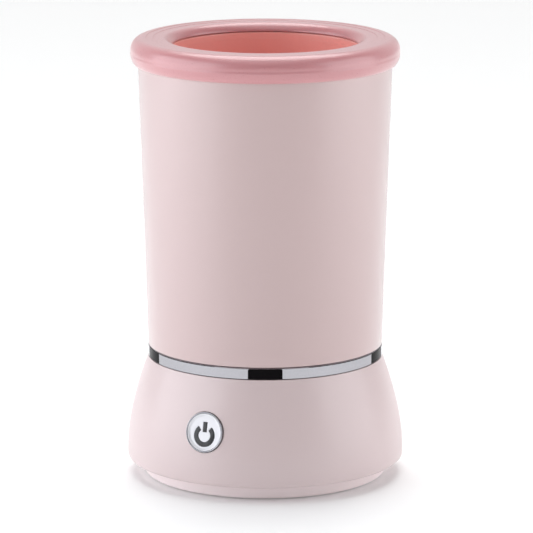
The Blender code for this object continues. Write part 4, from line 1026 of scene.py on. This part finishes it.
# %% Finishes for the inner parts
INNER = {
    "heater_band": STEEL, "thermal_fuse": STEEL, "thermostat_clip": STEEL, "switch_bracket": STEEL,
    "insulation_wrap": FELT, "stand_ring": PHENOLIC, "thermostat": BLACK_MOULDING,
    "switch_body": BLACK_MOULDING, "relay": BLACK_MOULDING, "control_chip": BLACK_MOULDING,
    "switch_plunger": BRASS, "capacitor": ALUMINIUM, "transformer": WINDING_TAPE,
    "circuit_board": BOARD_GREEN, "terminal_block": BOARD_GREEN,
}
for name in frame["nodes"]:
    if "screw" in name and name.startswith(("board", "bracket", "stand")):
        INNER[name] = STEEL
    if "lead" in name or "wire" in name:
        INNER[name] = GLASS_SLEEVE
for name, chosen in INNER.items():
    solid = frame["nodes"][name]
    solid.data.materials.clear()
    solid.data.materials.append(chosen)
print(len(INNER), "inner parts keep their shape")

# %% [markdown]
# ## The studio
# A softbox at each side gives pale flanks and a darker middle, which is what shows that a satin body is
# round. The left one is stronger, so the flanks differ. A strong ceiling above and behind whitens the table
# and throws the soft shadow forwards, and a weak one lifts the front of the rim. Spotlights would draw hard
# glints. The surroundings are brighter behind the warmer, where its slanting edges mirror them.

# %% Table
def make_table():
    """A plain white surface, far larger than the warmer. A faint glow stands for the room's own light."""
    shape = bmesh.new()
    bmesh.ops.create_grid(shape, x_segments=8, y_segments=8, size=4.0)
    table = finish_mesh("table", shape)
    laminate = finish("matt_white_laminate", "F7F8F8", "FAFBFB", (0.85, 0.95), 0.002 * MM, grain(2.0 * MM),
                      Emission_Color=colour("FFFFFF"), Emission_Strength=0.06)
    table.data.materials.append(laminate)
    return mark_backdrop(table)


make_table()

# %% Lights
VIEW_BEARING = math.radians(VIEW_DEGREES)
LIT_HEIGHT = 0.11  # the softboxes aim at half the warmer's height


def place_lamp(name, data, location, pointing):
    """Puts a light where it stands and turns it to shine along a direction."""
    lamp = bpy.data.objects.new(name, data)
    lamp.location = location
    lamp.rotation_euler = pointing.to_track_quat("-Z", "Y").to_euler()
    bpy.context.scene.collection.objects.link(lamp)
    return lamp


def softbox(name, bearing, distance, height, width, tall, power, tint):
    """A rectangular light aimed at the warmer. Its bearing is in degrees, positive to the camera's right."""
    turn = VIEW_BEARING + math.radians(bearing)
    data = bpy.data.lights.new(name, "AREA")
    data.shape = "RECTANGLE"
    data.size = width
    data.size_y = tall
    data.energy = power
    data.color = colour(tint)[:3]
    location = Vector((distance * math.sin(turn), -distance * math.cos(turn), height))
    lamp = place_lamp(name, data, location, Vector((0.0, 0.0, LIT_HEIGHT)) - location)
    lamp.visible_camera = False


def overhead(name, strength, spread, bearing, elevation):
    """A light from one direction, so broad that it acts as a bright ceiling."""
    data = bpy.data.lights.new(name, "SUN")
    data.energy = strength
    data.angle = math.radians(spread)
    turn, rise = VIEW_BEARING + math.radians(bearing), math.radians(elevation)
    towards = Vector((math.sin(turn) * math.cos(rise), -math.cos(turn) * math.cos(rise), math.sin(rise)))
    place_lamp(name, data, (0.0, 0.0, 0.0), -towards)


softbox("softbox_left", -76.0, 1.1, 0.35, 1.5, 1.2, 13.7, "F6FAFF")
softbox("softbox_right", 78.0, 1.1, 0.35, 1.1, 1.2, 8.5, "FCFCFF")
overhead("front_ceiling", 0.62, 56.0, -10.0, 78.0)
overhead("high_ceiling", 1.98, 50.0, 180.0, 66.0)

# %% Surroundings
BRIGHT_BEHIND, DIM_IN_FRONT = 0.6, 0.02
world = bpy.data.worlds.new("studio")
bpy.context.scene.world = world
world.use_nodes = True
room = world.node_tree
room.nodes.clear()
towards_camera = (math.sin(VIEW_BEARING), -math.cos(VIEW_BEARING), 0.0)
direction = add(room, "TexCoord").outputs["Generated"]
facing = add(room, "VectorMath", {0: direction, 1: towards_camera}, operation="DOT_PRODUCT").outputs["Value"]
fall = add(room, "MapRange", {"Value": facing, "From Min": -1.0, "From Max": -0.1, "To Min": BRIGHT_BEHIND,
                              "To Max": DIM_IN_FRONT}, interpolation_type="SMOOTHSTEP").outputs["Result"]
walls = add(room, "Background", {"Color": colour("FFFAFA"), "Strength": fall})
backdrop = add(room, "Background", {"Color": (1.0, 1.0, 1.0, 1.0), "Strength": 1.0})
seen = add(room, "LightPath").outputs["Is Camera Ray"]
mixed = add(room, "MixShader", {0: seen, 1: walls.outputs[0], 2: backdrop.outputs[0]})
add(room, "OutputWorld", {"Surface": mixed.outputs[0]})

# %% Camera
CAMERA_DISTANCE = 1.8
CAMERA_HEIGHT = 0.4832
CAMERA_DIP = 12.08  # degrees below level
camera_data = bpy.data.cameras.new("camera")
camera_data.lens = 264.85
camera_data.sensor_width = 36.0
camera_data.shift_x = 0.0024
camera = bpy.data.objects.new("camera", camera_data)
camera.location = (CAMERA_DISTANCE * math.sin(VIEW_BEARING), -CAMERA_DISTANCE * math.cos(VIEW_BEARING),
                   CAMERA_HEIGHT)
camera.rotation_euler = (math.radians(90.0 - CAMERA_DIP), 0.0, VIEW_BEARING)
bpy.context.scene.collection.objects.link(camera)
bpy.context.scene.camera = camera
bpy.context.scene.view_settings.view_transform = "Standard"
